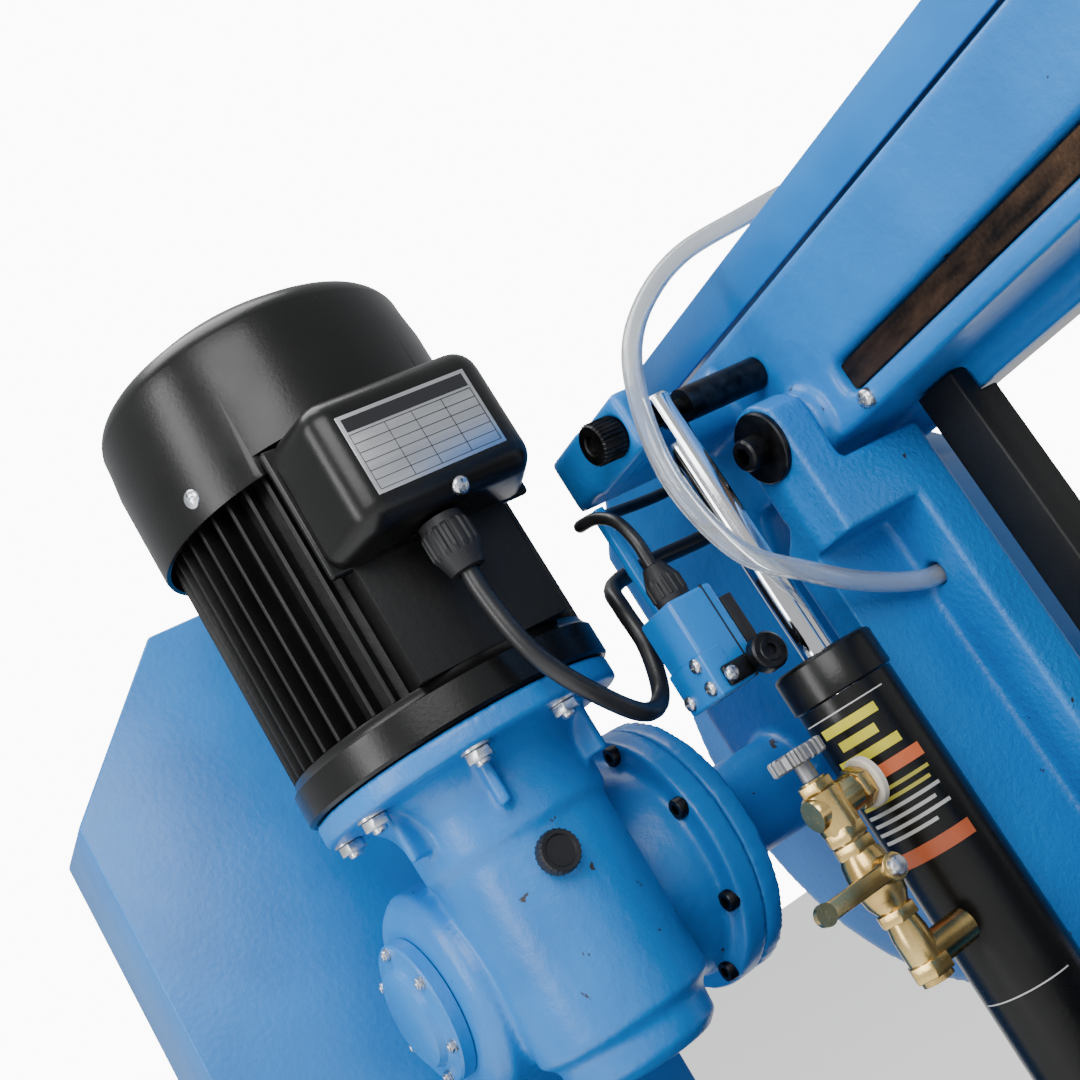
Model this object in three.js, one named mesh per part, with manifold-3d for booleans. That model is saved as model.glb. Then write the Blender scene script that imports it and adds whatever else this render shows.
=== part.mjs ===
// Horizontal band saw with a gear-driven blade and a hydraulic feed cylinder.
// Millimetres. X runs along the blade from the drive wheel to the idler wheel, Z is up.
// Every shape is drawn from the bow's hinge axis, which is the local origin. The whole
// saw is moved at the end so that its own origin is the centre of its footprint.
import * as THREE from 'three';
import { mergeVertices } from 'three/addons/utils/BufferGeometryUtils.js';
import Module from 'manifold-3d';

const wasm = await Module();
wasm.setup();

// Driving dimensions
const gap = 0.3;              // air between two pieces that touch
const floorZ = -900;          // floor, below the hinge axis
const trayZ = -472;           // top face of the chip tray's floor
const bedZ = -275;            // top face of the bed
const wheelRadius = 149.2;    // blade wheels
const wheelSpan = 710;        // distance between the two wheel axles
const bladeY = 114;           // middle of the blade
const bladeWidth = 20;
const bladeThick = 1.0;
const driveX = -185;          // drive wheel and gearbox output axis
const wheelZ = -140;          // both wheel axles
const idlerX = driveX + wheelSpan;
const plateY = [88, 98];      // bow plates that carry the wheels
const motorX = -128;          // motor and worm axis
const motorY = -156;
const flangeZ = -40;          // joint between the gearbox and the motor
const pinX = -10;             // hydraulic rod, its pin and the cylinder
const pinZ = 38;
const rodY = -32;
const rodRadius = 8;
const barrelRadius = 24;
const capZ = -96;             // top of the cylinder's cap
const footPinZ = -400;        // lower pin of the cylinder
const hingeRadius = 9;
const beamY = [30, 88];       // bow beam
const beamZ = [-16, 64];
const beamX = [-72, 372];

// Finishes
const paint = { color: 0x2f7fc4, roughness: 0.42, metalness: 0.1 };
const blackPaint = { color: 0x101012, roughness: 0.38, metalness: 0.1 };
const blackOxide = { color: 0x18181a, roughness: 0.5, metalness: 0.6 };
const chrome = { color: 0xd8dadd, roughness: 0.12, metalness: 1.0 };
const steel = { color: 0x9a9ca0, roughness: 0.4, metalness: 0.9 };
const rusty = { color: 0x3c2c26, roughness: 0.7, metalness: 0.6 };
const iron = { color: 0x77797c, roughness: 0.55, metalness: 0.8 };
const brass = { color: 0xb9974d, roughness: 0.28, metalness: 1.0 };
const rubber = { color: 0x141414, roughness: 0.6, metalness: 0.0 };
const clearVinyl = { color: 0xc8d2d8, roughness: 0.2, metalness: 0.0 };
const paleGrey = { color: 0xb4b4b2, roughness: 0.5, metalness: 0.2 };
const green = { color: 0x1f8a4a, roughness: 0.4, metalness: 0.0 };
const red = { color: 0xb3201c, roughness: 0.4, metalness: 0.0 };

const saw = new THREE.Group();

function add(name, geometry, finish) {
  const mesh = new THREE.Mesh(geometry, new THREE.MeshStandardMaterial(finish));
  mesh.name = name;
  saw.add(mesh);
  return mesh;
}

// Basic solids, each placed by its real limits

function box(x, y, z) {
  const geometry = new THREE.BoxGeometry(x[1] - x[0], y[1] - y[0], z[1] - z[0]);
  return geometry.translate((x[0] + x[1]) / 2, (y[0] + y[1]) / 2, (z[0] + z[1]) / 2);
}

// A turned piece: points are [radius, distance along the axis], in either direction
function turned(axis, centre, points, segments = 28) {
  const outline = points.map(([radius, along]) => new THREE.Vector2(radius, along));
  if (THREE.ShapeUtils.area(outline) < 0) outline.reverse();
  if (outline[0].x > 0) outline.push(outline[0].clone());
  const geometry = new THREE.LatheGeometry(outline, segments);
  if (axis === 'x') geometry.rotateZ(-Math.PI / 2);
  if (axis === 'z') geometry.rotateX(Math.PI / 2);
  return geometry.translate(centre[0], centre[1], centre[2]);
}

function rod(axis, centre, radius, span, segments = 24) {
  const [from, to] = span;
  return turned(axis, centre, [[0, from], [radius, from], [radius, to], [0, to]], segments);
}

function ring(axis, centre, inner, outer, span, segments = 28) {
  const [from, to] = span;
  const points = [[inner, from], [outer, from], [outer, to], [inner, to]];
  return turned(axis, centre, points, segments);
}

// An outline of [x, z] points given a thickness along Y
function plateXZ(points, y) {
  const shape = new THREE.Shape(points.map(([px, pz]) => new THREE.Vector2(px, pz)));
  const geometry = new THREE.ExtrudeGeometry(shape, { depth: y[1] - y[0], bevelEnabled: false });
  return geometry.rotateX(Math.PI / 2).translate(0, y[1], 0);
}

// An outline of [y, z] points given a length along X
function profileYZ(points, x) {
  const shape = new THREE.Shape(points.map(([py, pz]) => new THREE.Vector2(py, pz)));
  const geometry = new THREE.ExtrudeGeometry(shape, { depth: x[1] - x[0], bevelEnabled: false });
  return geometry.rotateX(Math.PI / 2).rotateZ(Math.PI / 2).translate(x[0], 0, 0);
}

// An outline of [x, y] points given a height along Z
function plateXY(points, z, holes = []) {
  const shape = new THREE.Shape(points.map(([px, py]) => new THREE.Vector2(px, py)));
  for (const hole of holes) shape.holes.push(hole);
  const geometry = new THREE.ExtrudeGeometry(shape, { depth: z[1] - z[0], bevelEnabled: false });
  return geometry.translate(0, 0, z[0]);
}

function tube(points, radius, sides = 10, steps = 48) {
  const curve = new THREE.CatmullRomCurve3(points.map((p) => new THREE.Vector3(...p)), false, 'centripetal');
  const section = new THREE.Shape();
  section.absarc(0, 0, radius, 0, Math.PI * 2, false);
  return new THREE.ExtrudeGeometry(section, {
    extrudePath: curve, steps, curveSegments: sides / 2, bevelEnabled: false,
  });
}

// A toothed or knurled disc about Z, made as a plain outline
function toothed(radius, depth, teeth) {
  const points = [];
  for (let i = 0; i < teeth; i += 1) {
    for (const [share, r] of [[0, radius - depth], [0.25, radius], [0.6, radius], [0.85, radius - depth]]) {
      const angle = ((i + share) / teeth) * Math.PI * 2;
      points.push([r * Math.cos(angle), r * Math.sin(angle)]);
    }
  }
  return points;
}

// Cuts and joins

function solid(geometry) {
  const bare = geometry.clone();
  bare.deleteAttribute('normal');
  bare.deleteAttribute('uv');
  const merged = mergeVertices(bare, 1e-4);
  const mesh = new wasm.Mesh({
    numProp: 3,
    vertProperties: new Float32Array(merged.attributes.position.array),
    triVerts: new Uint32Array(merged.index.array),
  });
  return new wasm.Manifold(mesh);
}

function surface(manifold) {
  const mesh = manifold.getMesh();
  const geometry = new THREE.BufferGeometry();
  geometry.setAttribute('position', new THREE.BufferAttribute(new Float32Array(mesh.vertProperties), 3));
  geometry.setIndex(new THREE.BufferAttribute(new Uint32Array(mesh.triVerts), 1));
  return geometry;
}

function join(...pieces) {
  return surface(pieces.map(solid).reduce((whole, piece) => whole.add(piece)));
}

function cut(body, ...tools) {
  return surface(tools.map(solid).reduce((whole, tool) => whole.subtract(tool), solid(body)));
}

// Stand: two sheet-metal pedestals, open under the tray, each on four feet
const sheet = 3;
const standTop = trayZ - 6 - gap;

function pedestal(x, y) {
  const outer = box(x, y, [floorZ + 20, standTop]);
  const inner = box([x[0] + sheet, x[1] - sheet], [y[0] + sheet, y[1] - sheet],
    [floorZ + 20 + sheet, standTop + 1]);
  const feet = [];
  for (const footX of [x[0] + 35, x[1] - 35]) {
    for (const footY of [y[0] + 35, y[1] - 35]) {
      feet.push(rod('z', [footX, footY, 0], 24, [floorZ, floorZ + 21], 16));
    }
  }
  return join(cut(outer, inner), ...feet);
}

const standY = [-240, 280];
add('stand_rear', pedestal([-390, -110], standY), paint);
add('stand_front', pedestal([260, 560], standY), paint);

const shelfZ = [-702, -690];
add('stand_shelf', box([-110 + gap, 260 - gap], [-140, 200], shelfZ), paint);

// Chip tray
const trayX = [-430, 620];
const trayY = [-335, 350];
add('chip_tray', cut(
  box(trayX, trayY, [trayZ - 6, trayZ + 32]),
  box([trayX[0] + 4, trayX[1] - 4], [trayY[0] + 4, trayY[1] - 4], [trayZ, trayZ + 40]),
), blackPaint);

// Base casting and bed
const baseZ = [trayZ + gap, -441];
add('base_casting', join(
  box([-130, 390], [-85, 335], baseZ),
  box([92, 378], [-52, -24], [-450, bedZ - 40 - gap]),
  box([92, 378], [292, 320], [-450, bedZ - 40 - gap]),
), paint);

const bedX = [85, 385];
add('bed', cut(
  box(bedX, [-60, 330], [bedZ - 40, bedZ]),
  box([bedX[0] - 5, bedX[1] + 5], [bladeY - 5, bladeY + 5], [bedZ - 34, bedZ + 5]),
  box([344, bedX[1] + 5], [bladeY - 13, bladeY + 13], [bedZ - 34, bedZ + 5]),
  box([bedX[0] - 5, bedX[0] + 32], [bladeY - 13, bladeY + 13], [bedZ - 34, bedZ + 5]),
), iron);

// Vise: fixed jaw, sliding jaw, nut block, screw with its handwheel
const jawY = [136, 310];
const jawZ = [bedZ + gap, bedZ + 80];
const screwY = 235;
const screwZ = bedZ + 42;
const jawFaceX = 262;         // face of the sliding jaw at rest
add('fixed_jaw', box([bedX[0], bedX[0] + 24], jawY, jawZ), iron);
add('vise_jaw', cut(
  box([jawFaceX, jawFaceX + 34], jawY, jawZ),
  rod('x', [0, screwY, screwZ], 11.3, [jawFaceX + 12, jawFaceX + 40]),
), iron);
add('vise_nut_block', cut(
  box([356, bedX[1]], [screwY - 32, screwY + 32], [bedZ + gap, bedZ + 72]),
  rod('x', [0, screwY, screwZ], 10.6, [350, 390]),
), paint);

const handwheelX = jawFaceX + 255;
const handwheelRadius = 52;
add('vise_screw', join(
  rod('x', [0, screwY, screwZ], 11, [jawFaceX + 14, jawFaceX + 24]),
  rod('x', [0, screwY, screwZ], 10, [jawFaceX + 20, handwheelX + 4]),
  ring('x', [0, screwY, screwZ], handwheelRadius - 12, handwheelRadius, [handwheelX, handwheelX + 14]),
  box([handwheelX + 2, handwheelX + 10], [screwY - 45, screwY + 45], [screwZ - 7, screwZ + 7]),
  box([handwheelX + 2, handwheelX + 10], [screwY - 7, screwY + 7], [screwZ - 45, screwZ + 45]),
  rod('x', [0, screwY, screwZ], 16, [handwheelX - 4, handwheelX + 16]),
  rod('x', [0, screwY, screwZ + 46], 8, [handwheelX + 12, handwheelX + 62], 16),
), steel);

// Control box with its two push buttons
const controlX = [420, 520];
const controlY = [262, 342];
const controlZ = [trayZ + gap, -372];
const buttonX = [445, 493];
const buttonY = 302;
const buttonWell = 10;
add('control_box', cut(
  box(controlX, controlY, controlZ),
  ...buttonX.map((x) => rod('z', [x, buttonY, 0], 12.5, [controlZ[1] - buttonWell, controlZ[1] + 5], 20)),
), blackPaint);
add('start_button', rod('z', [buttonX[0], buttonY, 0], 12, [controlZ[1] - 4, controlZ[1] + 5], 20), green);
add('stop_button', turned('z', [buttonX[1], buttonY, 0], [
  [0, controlZ[1] - 4], [12, controlZ[1] - 4], [12, controlZ[1] + 8], [17, controlZ[1] + 9],
  [17, controlZ[1] + 15], [12, controlZ[1] + 18], [0, controlZ[1] + 18],
], 20), red);

// Rear cabinet: a folded sheet box with one corner cut off at 45 degrees
const cabinetX = [-410, -305];
const cabinetY = [-306, -62];
const cabinetZ = [trayZ + gap, 127];
const corner = 85;
const sillZ = trayZ + 36;      // the door's opening starts above the tray's rim
function cabinetOutline(inset, z0) {
  const [y0, y1] = [cabinetY[0] + inset, cabinetY[1] - inset];
  const z1 = cabinetZ[1] - inset;
  return [[y0, z0], [y1, z0], [y1, z1], [y0 + corner, z1], [y0, z1 - corner]];
}
add('rear_cabinet', cut(
  profileYZ(cabinetOutline(0, cabinetZ[0]), cabinetX),
  profileYZ(cabinetOutline(sheet, sillZ), [cabinetX[0] - 5, cabinetX[1] - sheet]),
), paint);
add('cabinet_door', profileYZ(cabinetOutline(sheet + 1, sillZ + 1), [cabinetX[0], cabinetX[0] + sheet]), paint);

// Coolant tank and pump on the shelf
add('coolant_tank', cut(
  box([-80, 200], [-110, 170], [shelfZ[1] + gap, -560]),
  box([-77, 197], [-107, 167], [shelfZ[1] + 4, -555]),
), blackPaint);

// Pivot bracket: arm beside the bow, shoulder under it, open front below, foot on the base
const armY = [0, 21];
const bracketY = [0, 73];
const bracketX = [-35, 18];
const shoulder = [[-35, -50], [-35, -440.7], [18, -440.7], [18, -24], [-2, -24]];
const hosePort = [-6, -92];   // X and Z of the hose's hole in the side flange
add('bracket', cut(
  join(
    plateXZ(shoulder, bracketY),
    box([-20, 18], armY, [-60, 12]),
    rod('y', [-1, 0, 2], 19, armY, 32),
    box([-120, 62], [-72, 78], [-441 + gap, -414]),
  ),
  box([-14, 30], [-5, 48], [-410, -56]),
  rod('y', [0, 0, 0], hingeRadius + gap, [-5, 22]),
  rod('y', [hosePort[0], 0, hosePort[1]], 6.2, [40, 80], 20),
), paint);

// Hinge: shaft through the arm into the bow, held by a socket screw and a large washer
const washerRadius = 18;
add('hinge_shaft', rod('y', [0, 0, 0], hingeRadius, [gap, 74]), steel);
add('hinge_washer', ring('y', [0, 0, 0], 5.3, washerRadius, [-3.3, -gap]), blackOxide);
add('hinge_screw', cut(
  rod('y', [0, 0, 0], 8, [-14, -3.6]),
  turned('y', [0, 0, 0], [[0, -20], [4.6, -20], [4.6, -8.5], [0, -8.5]], 6),
), blackOxide);

// Bow casting: beam, rear web, wheel plates, neck and flange for the gearbox, clevis block
const guardRadius = 165;
const neckRadius = 28;
const ringFlange = { radius: 74, y: [-60, -48] };
const beamBox = box(beamX, [beamY[0], plateY[0] + 1], beamZ);
const rearWeb = plateXZ([[-72, -16], [-92, -60], [-118, -112], [-160, -150], [-225, -150],
  [-225, 30], [-185, 64], [-72, 64]], [beamY[0], plateY[0] + 1]);
const clevisBlock = join(
  box([-74, -38], [-62, beamY[0] + 1], [26, 56]),
  box([-50, 4], [-62, -46], [24, 54]),
);
const castBow = join(
  beamBox,
  rearWeb,
  box([driveX, idlerX], plateY, [-30, 64]),
  rod('y', [driveX, 0, wheelZ], guardRadius, plateY, 48),
  rod('y', [idlerX, 0, wheelZ], guardRadius, plateY, 48),
  rod('y', [driveX, 0, wheelZ], neckRadius, [-50, plateY[0] + 1]),
  rod('y', [driveX, 0, wheelZ], ringFlange.radius, ringFlange.y, 36),
  clevisBlock,
  rod('y', [0, 0, 0], 19, [armY[1] + gap, beamY[0] + 1]),
);
const shaftRadius = 12.5;
const channelZ = [-4, 13];    // groove along the beam that holds the steel bar
add('bow_casting', cut(
  castBow,
  box([34, 420], [20, 46], channelZ),
  rod('y', [0, 0, 0], hingeRadius + gap, [20, 76]),
  rod('y', [driveX, 0, wheelZ], shaftRadius + gap, [-70, 110]),
  rod('y', [pinX, 0, pinZ], 8.2, [-70, -40], 20),
  box([idlerX - 24, idlerX + 12], [80, 110], [wheelZ - 11, wheelZ + 11]),
  box([38, 330], [50, 84], [26, 70]),
), paint);
add('beam_bar', box([34.5, 366], [36, 45], [channelZ[0] + 1.5, channelZ[1] - 1.5]), rusty);
add('clevis_pin', turned('y', [pinX, 0, pinZ], [
  [0, -76], [10.5, -76], [10.5, -62.3], [8, -62.3], [8, -44], [4, -44], [4, -20], [8.5, -20],
  [8.5, beamY[0] - gap], [0, beamY[0] - gap],
], 20), blackOxide);

// Covers of the blade: top cover, grey channel along the beam, two wheel guards
const coverX = [-215, 560];
add('top_cover', profileYZ([
  [34, 67], [37, 67], [37, 89], [172, 89], [172, 30], [175, 30], [175, 92], [34, 92],
], coverX), paint);
add('blade_channel', profileYZ([
  [98.3, -24], [150, -24], [150, -21], [101.3, -21], [101.3, 33], [150, 33], [150, 36], [98.3, 36],
], [-18, 358]), paleGrey);

function wheelGuard(centreX, towards) {
  const pan = cut(
    rod('y', [centreX, 0, wheelZ], guardRadius, [plateY[1] + gap, 168], 48),
    rod('y', [centreX, 0, wheelZ], guardRadius - 3, [plateY[1] - 2, 165], 48),
  );
  const side = towards > 0 ? [centreX + 20, centreX + 175] : [centreX - 175, centreX - 20];
  return cut(pan, box(side, [plateY[1] - 2, 130], [-34, 40]), box(side, [plateY[1] - 2, 130], [-320, -255]));
}
add('guard_drive', wheelGuard(driveX, 1), paint);
add('guard_idler', wheelGuard(idlerX, -1), paint);

// Blade wheels with a web, a hub and round windows
const wheelY = [bladeY - 12, bladeY + 12];
function bladeWheel(centreX, bore) {
  const blank = turned('y', [centreX, 0, wheelZ], [
    [bore, bladeY - 9], [28, bladeY - 9], [28, bladeY - 4], [130, bladeY - 4], [134, wheelY[0] + 3],
    [wheelRadius, wheelY[0] + 3], [wheelRadius, wheelY[1]], [134, wheelY[1]], [130, bladeY + 4],
    [28, bladeY + 4], [28, bladeY + 14], [bore, bladeY + 14],
  ], 40);
  const windows = [];
  for (let i = 0; i < 5; i += 1) {
    const angle = (i / 5) * Math.PI * 2;
    const at = [centreX + 80 * Math.cos(angle), 0, wheelZ + 80 * Math.sin(angle)];
    windows.push(rod('y', at, 24, [bladeY - 20, bladeY + 20], 12));
  }
  return cut(blank, ...windows);
}
add('drive_wheel', bladeWheel(driveX, shaftRadius + gap), iron);
add('idler_wheel', bladeWheel(idlerX, 10.3), iron);
add('idler_axle', join(
  box([idlerX - 20, idlerX + 8], [84, plateY[1] - gap], [wheelZ - 10.5, wheelZ + 10.5]),
  rod('y', [idlerX, 0, wheelZ], 10, [90, 128]),
), steel);
add('tension_knob', join(
  rod('x', [0, 70, wheelZ], 7, [idlerX + 100, idlerX + guardRadius + 30], 16),
  rod('x', [0, 70, wheelZ], 26, [idlerX + guardRadius + 18, idlerX + guardRadius + 36], 20),
), blackPaint);

// Blade: a closed band round both wheels, turned on edge where it crosses the bed
function bladeBand() {
  const centreLine = wheelRadius + gap + bladeThick / 2;
  const stations = [];
  const arcSteps = 28;
  for (let i = 0; i <= arcSteps; i += 1) {
    const angle = Math.PI / 2 + (i / arcSteps) * Math.PI;
    stations.push({ x: driveX, angle, twist: 0 });
  }
  const twistRun = [[0.05, 0], [0.12, 0.2], [0.2, 0.5], [0.28, 0.8], [0.35, 1], [0.5, 1],
    [0.62, 1], [0.745, 1], [0.79, 0.8], [0.84, 0.5], [0.89, 0.2], [0.95, 0]];
  for (const [share, twist] of twistRun) {
    stations.push({ x: driveX + share * wheelSpan, angle: -Math.PI / 2, twist: twist * Math.PI / 2 });
  }
  for (let i = 0; i <= arcSteps; i += 1) {
    const angle = -Math.PI / 2 + (i / arcSteps) * Math.PI;
    stations.push({ x: idlerX, angle, twist: 0 });
  }
  const positions = [];
  for (const { x, angle, twist } of stations) {
    const outward = new THREE.Vector3(Math.cos(angle), 0, Math.sin(angle));
    const across = new THREE.Vector3(0, 1, 0);
    const centre = new THREE.Vector3(x, bladeY, wheelZ).addScaledVector(outward, centreLine);
    const thick = outward.clone().multiplyScalar(Math.cos(twist)).addScaledVector(across, Math.sin(twist));
    const wide = across.clone().multiplyScalar(Math.cos(twist)).addScaledVector(outward, -Math.sin(twist));
    for (const [t, w] of [[-1, -1], [1, -1], [1, 1], [-1, 1]]) {
      const p = centre.clone().addScaledVector(thick, t * bladeThick / 2).addScaledVector(wide, w * bladeWidth / 2);
      positions.push(p.x, p.y, p.z);
    }
  }
  const index = [];
  const count = stations.length;
  for (let i = 0; i < count; i += 1) {
    const next = (i + 1) % count;
    for (let k = 0; k < 4; k += 1) {
      const [a, b] = [i * 4 + k, i * 4 + ((k + 1) % 4)];
      const [c, d] = [next * 4 + k, next * 4 + ((k + 1) % 4)];
      index.push(a, b, d, a, d, c);
    }
  }
  const geometry = new THREE.BufferGeometry();
  geometry.setAttribute('position', new THREE.Float32BufferAttribute(positions, 3));
  geometry.setIndex(index);
  return geometry;
}
add('blade', bladeBand(), steel);

// Blade guide arms: one fixed beside the drive guard, one that slides along the beam
function guideArm(x) {
  const y = [plateY[1] + gap, bladeY + 14];
  return cut(
    join(
      box([x - 14, x + 14], [76, plateY[1]], [-262, -17]),
      box([x - 14, x + 14], [76, bladeY + 14], [-272, -232]),
    ),
    box([x - 20, x + 20], [bladeY - 6, bladeY + 6], [-320, -252]),
    box([x - 20, x + 20], [plateY[0] - 1, y[0]], [-31, -10]),
  );
}
add('guide_arm_fixed', guideArm(36), blackPaint);
add('guide_arm_sliding', guideArm(332), blackPaint);

// Worm gearbox under the motor: ribbed neck, wheel housing and its round cover
const gearY = [-217, ringFlange.y[0] - gap];
const wormTop = flangeZ;
const housing = join(
  turned('z', [motorX, motorY, 0], [
    [0, -214], [34, -214], [40, -206], [40, -196], [47, -190], [47, -96], [52, -88], [52, -76],
    [60, -66], [82, -52], [82, wormTop], [0, wormTop],
  ], 32),
  turned('y', [driveX, 0, wheelZ], [
    [0, gearY[0]], [40, gearY[0]], [56, gearY[0] + 8], [56, -104], [60, -92], [66, -76],
    [ringFlange.radius, -74], [ringFlange.radius, gearY[1]], [0, gearY[1]],
  ], 32),
);
add('gearbox_housing', cut(
  housing,
  rod('y', [driveX, 0, wheelZ], 44, [motorY - 31, motorY + 31], 24),
  rod('y', [driveX, 0, wheelZ], 22, [motorY, -50], 20),
  rod('z', [motorX, motorY, 0], 17, [-205, -30], 20),
  rod('z', [motorX, motorY, 0], 48, [-60, -30], 24),
), paint);
add('gearbox_cap', turned('y', [driveX, 0, wheelZ], [
  [0, gearY[0] - 14], [26, gearY[0] - 14], [30, gearY[0] - 9], [37, gearY[0] - 8],
  [37, gearY[0] - gap], [0, gearY[0] - gap],
]), paint);
add('oil_plug', rod('x', [0, motorY - 10, -110], 10.5, [motorX + 47.5, motorX + 58], 20), blackOxide);
add('output_shaft', join(
  rod('y', [driveX, 0, wheelZ], shaftRadius, [motorY - 25, 126]),
  rod('y', [driveX, 0, wheelZ], 40, [motorY - 14, motorY + 14], 36),
), steel);

// Motor: end shield, finned frame, rotor with worm and fan, fan cover, terminal box
const motorZ = { shield: [flangeZ + gap, -18], frame: [-18 + gap, 108], cowl: [102, 196] };
const fins = 32;
const finOutline = [];
for (let i = 0; i < fins; i += 1) {
  for (const [share, r] of [[0, 72], [0.3, 72], [0.36, 81], [0.94, 81]]) {
    const angle = ((i + share) / fins) * Math.PI * 2;
    finOutline.push([motorX + r * Math.cos(angle), motorY + r * Math.sin(angle)]);
  }
}
const statorBore = new THREE.Path().absarc(motorX, motorY, 46, 0, Math.PI * 2, true);
add('motor_shield', ring('z', [motorX, motorY, 0], 14, 84, motorZ.shield, 44), blackPaint);
const boxAt = { x: motorX + 78, y: motorY + 8 };
add('motor_frame', cut(
  plateXY(finOutline, motorZ.frame, [statorBore]),
  box([boxAt.x - 6, boxAt.x + 30], [boxAt.y - 58, boxAt.y + 58], [40, 112]),
), blackPaint);
add('motor_rotor', join(
  rod('z', [motorX, motorY, 0], 9.5, [-200, 150]),
  rod('z', [motorX, motorY, 0], 13, [-176, -104]),
  rod('z', [motorX, motorY, 0], 44, [-6, 96], 32),
  rod('z', [motorX, motorY, 0], 22, [122, 146]),
  ...[0, 1, 2].map((i) => box([motorX - 62, motorX + 62], [motorY - 2, motorY + 2], [124, 144])
    .translate(-motorX, -motorY, 0).rotateZ((i * Math.PI) / 3).translate(motorX, motorY, 0)),
), steel);
const vents = [];
for (let i = 0; i < 8; i += 1) {
  const slot = box([24, 58], [-4, 4], [motorZ.cowl[1] - 8, motorZ.cowl[1] + 8]);
  vents.push(slot.rotateZ((i * Math.PI) / 4).translate(motorX, motorY, 0));
}
add('fan_cover', cut(
  turned('z', [motorX, motorY, 0], [
    [84.5, motorZ.cowl[0]], [87, motorZ.cowl[0]], [87, 170], [84, 184], [76, 193], [60, motorZ.cowl[1]],
    [0, motorZ.cowl[1]], [0, motorZ.cowl[1] - 3], [59, motorZ.cowl[1] - 3], [74, 190], [81.5, 182],
    [84.5, 169],
  ], 44),
  box([boxAt.x - 6, boxAt.x + 30], [boxAt.y - 58, boxAt.y + 58], [98, 112]),
  ...vents,
), blackPaint);
add('terminal_box', plateXY([
  [boxAt.x - 5, boxAt.y - 56], [boxAt.x + 36, boxAt.y - 48], [boxAt.x + 42, boxAt.y - 40],
  [boxAt.x + 42, boxAt.y + 40], [boxAt.x + 36, boxAt.y + 48], [boxAt.x - 5, boxAt.y + 56],
], [41, 111]), blackPaint);

// Cable gland under the terminal box and the motor's cable
const glandAt = [boxAt.x + 22, boxAt.y - 6];
add('motor_gland', turned('z', [glandAt[0], glandAt[1], 0], [
  [0, 41 - gap], [11, 41 - gap], [12, 30], [12, 24], [10, 20], [8.5, 14], [5.6, 14], [5.6, 24], [0, 24],
], 16), blackPaint);

// Limit switch on a strap from the clevis block
const switchX = [-44, -12];
const switchY = [-86, -60];
const switchZ = [-90, -42];
add('switch_strap', box([-50.3 - 6, -50.3], [-68, -62 - gap], [-90, 20]), paint);
add('switch_box', plateXZ([
  [switchX[0], switchZ[0]], [switchX[1], switchZ[0]], [switchX[1], switchZ[1]], [switchX[0], switchZ[1]],
], switchY), paint);
add('switch_gland', turned('z', [-26, -73, 0], [
  [0, switchZ[1] + gap], [9, switchZ[1] + gap], [9, -36], [8, -34], [8, -26], [5, -22], [0, -22],
], 16), blackPaint);
const rollerZ = switchZ[0] + 6;
add('switch_lever', join(
  box([-12 + gap, -8], [-82, -56], [rollerZ - 5, rollerZ + 5]),
  rod('x', [0, -60, rollerZ], 9, [-8.5, 0], 20),
), blackOxide);

// Hydraulic feed cylinder: foot with its pin, barrel, cap, rod and the two valves
add('cylinder_foot', join(
  cut(
    box([-32, 12], [rodY - 30, rodY + 30], [-414 + gap, footPinZ + 14]),
    box([-40, 20], [rodY - 16, rodY + 16], [-413, footPinZ + 20]),
  ),
  rod('y', [pinX, 0, footPinZ], 4, [rodY - 29, rodY + 29], 16),
), paint);
const barrelZ = [-372, capZ - 20];
add('cylinder_barrel', cut(
  join(
    rod('z', [pinX, rodY, 0], barrelRadius, barrelZ, 32),
    box([pinX - 8, pinX + 8], [rodY - 12, rodY + 12], [footPinZ, barrelZ[0] + 1]),
    rod('y', [pinX, 0, footPinZ], 9, [rodY - 12, rodY + 12], 20),
  ),
  rod('y', [pinX, 0, footPinZ], 4.3, [rodY - 30, rodY + 30], 16),
  rod('z', [pinX, rodY, 0], barrelRadius - 4, [-352, capZ], 32),
), blackPaint);
add('cylinder_cap', turned('z', [pinX, rodY, 0], [
  [rodRadius + gap, capZ - 20 + gap], [barrelRadius + 1.2, capZ - 20 + gap],
  [barrelRadius + 1.2, capZ - 2], [barrelRadius - 1, capZ], [rodRadius + gap, capZ],
], 32), blackPaint);
const rodTop = pinZ + 9;
add('piston_rod', cut(
  join(
    rod('z', [pinX, rodY, 0], rodRadius, [-260, rodTop], 24),
    rod('z', [pinX, rodY, 0], barrelRadius - 4 - gap, [-262, -240], 32),
  ),
  box([pinX - 5.4, pinX + 5.4], [rodY - 20, rodY + 20], [pinZ - 5.5, pinZ + 5.5]),
  box([pinX - 12, pinX + 12], [rodY - 12, rodY - 5.5], [pinZ - 16, pinZ + 12]),
), chrome);

const valveX = 6;
const valveY = -84;
const elbowZ = -154;
const barrelSide = rodY - barrelRadius - gap;
add('needle_valve', join(
  turned('z', [valveX, valveY, 0], [[0, -170], [10, -170], [10, -166], [11, -164], [11, -147], [8, -145],
    [8, -141], [0, -141]], 16),
  rod('y', [valveX, 0, elbowZ], 8.5, [valveY, barrelSide - 2], 20),
), brass);
add('needle_knob', join(
  rod('z', [valveX, valveY, 0], 4, [-141 + gap, -128], 12),
  plateXY(toothed(13, 1.2, 18).map(([x, y]) => [x + valveX, y + valveY]), [-133, -126]),
), steel);
const hubZ = -187;
add('ball_valve', join(
  turned('z', [valveX, valveY, 0], [[0, -236], [10, -236], [10, -214], [8, -210], [8, -202], [11, -198],
    [11, -178], [9, -174], [9, -170 - gap], [0, -170 - gap]], 16),
  rod('x', [0, valveY, hubZ], 6, [valveX, valveX + 15], 16),
  rod('y', [valveX, 0, -225], 8, [valveY, barrelSide - 2], 16),
), brass);
const leverX = valveX + 15 + gap;
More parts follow.
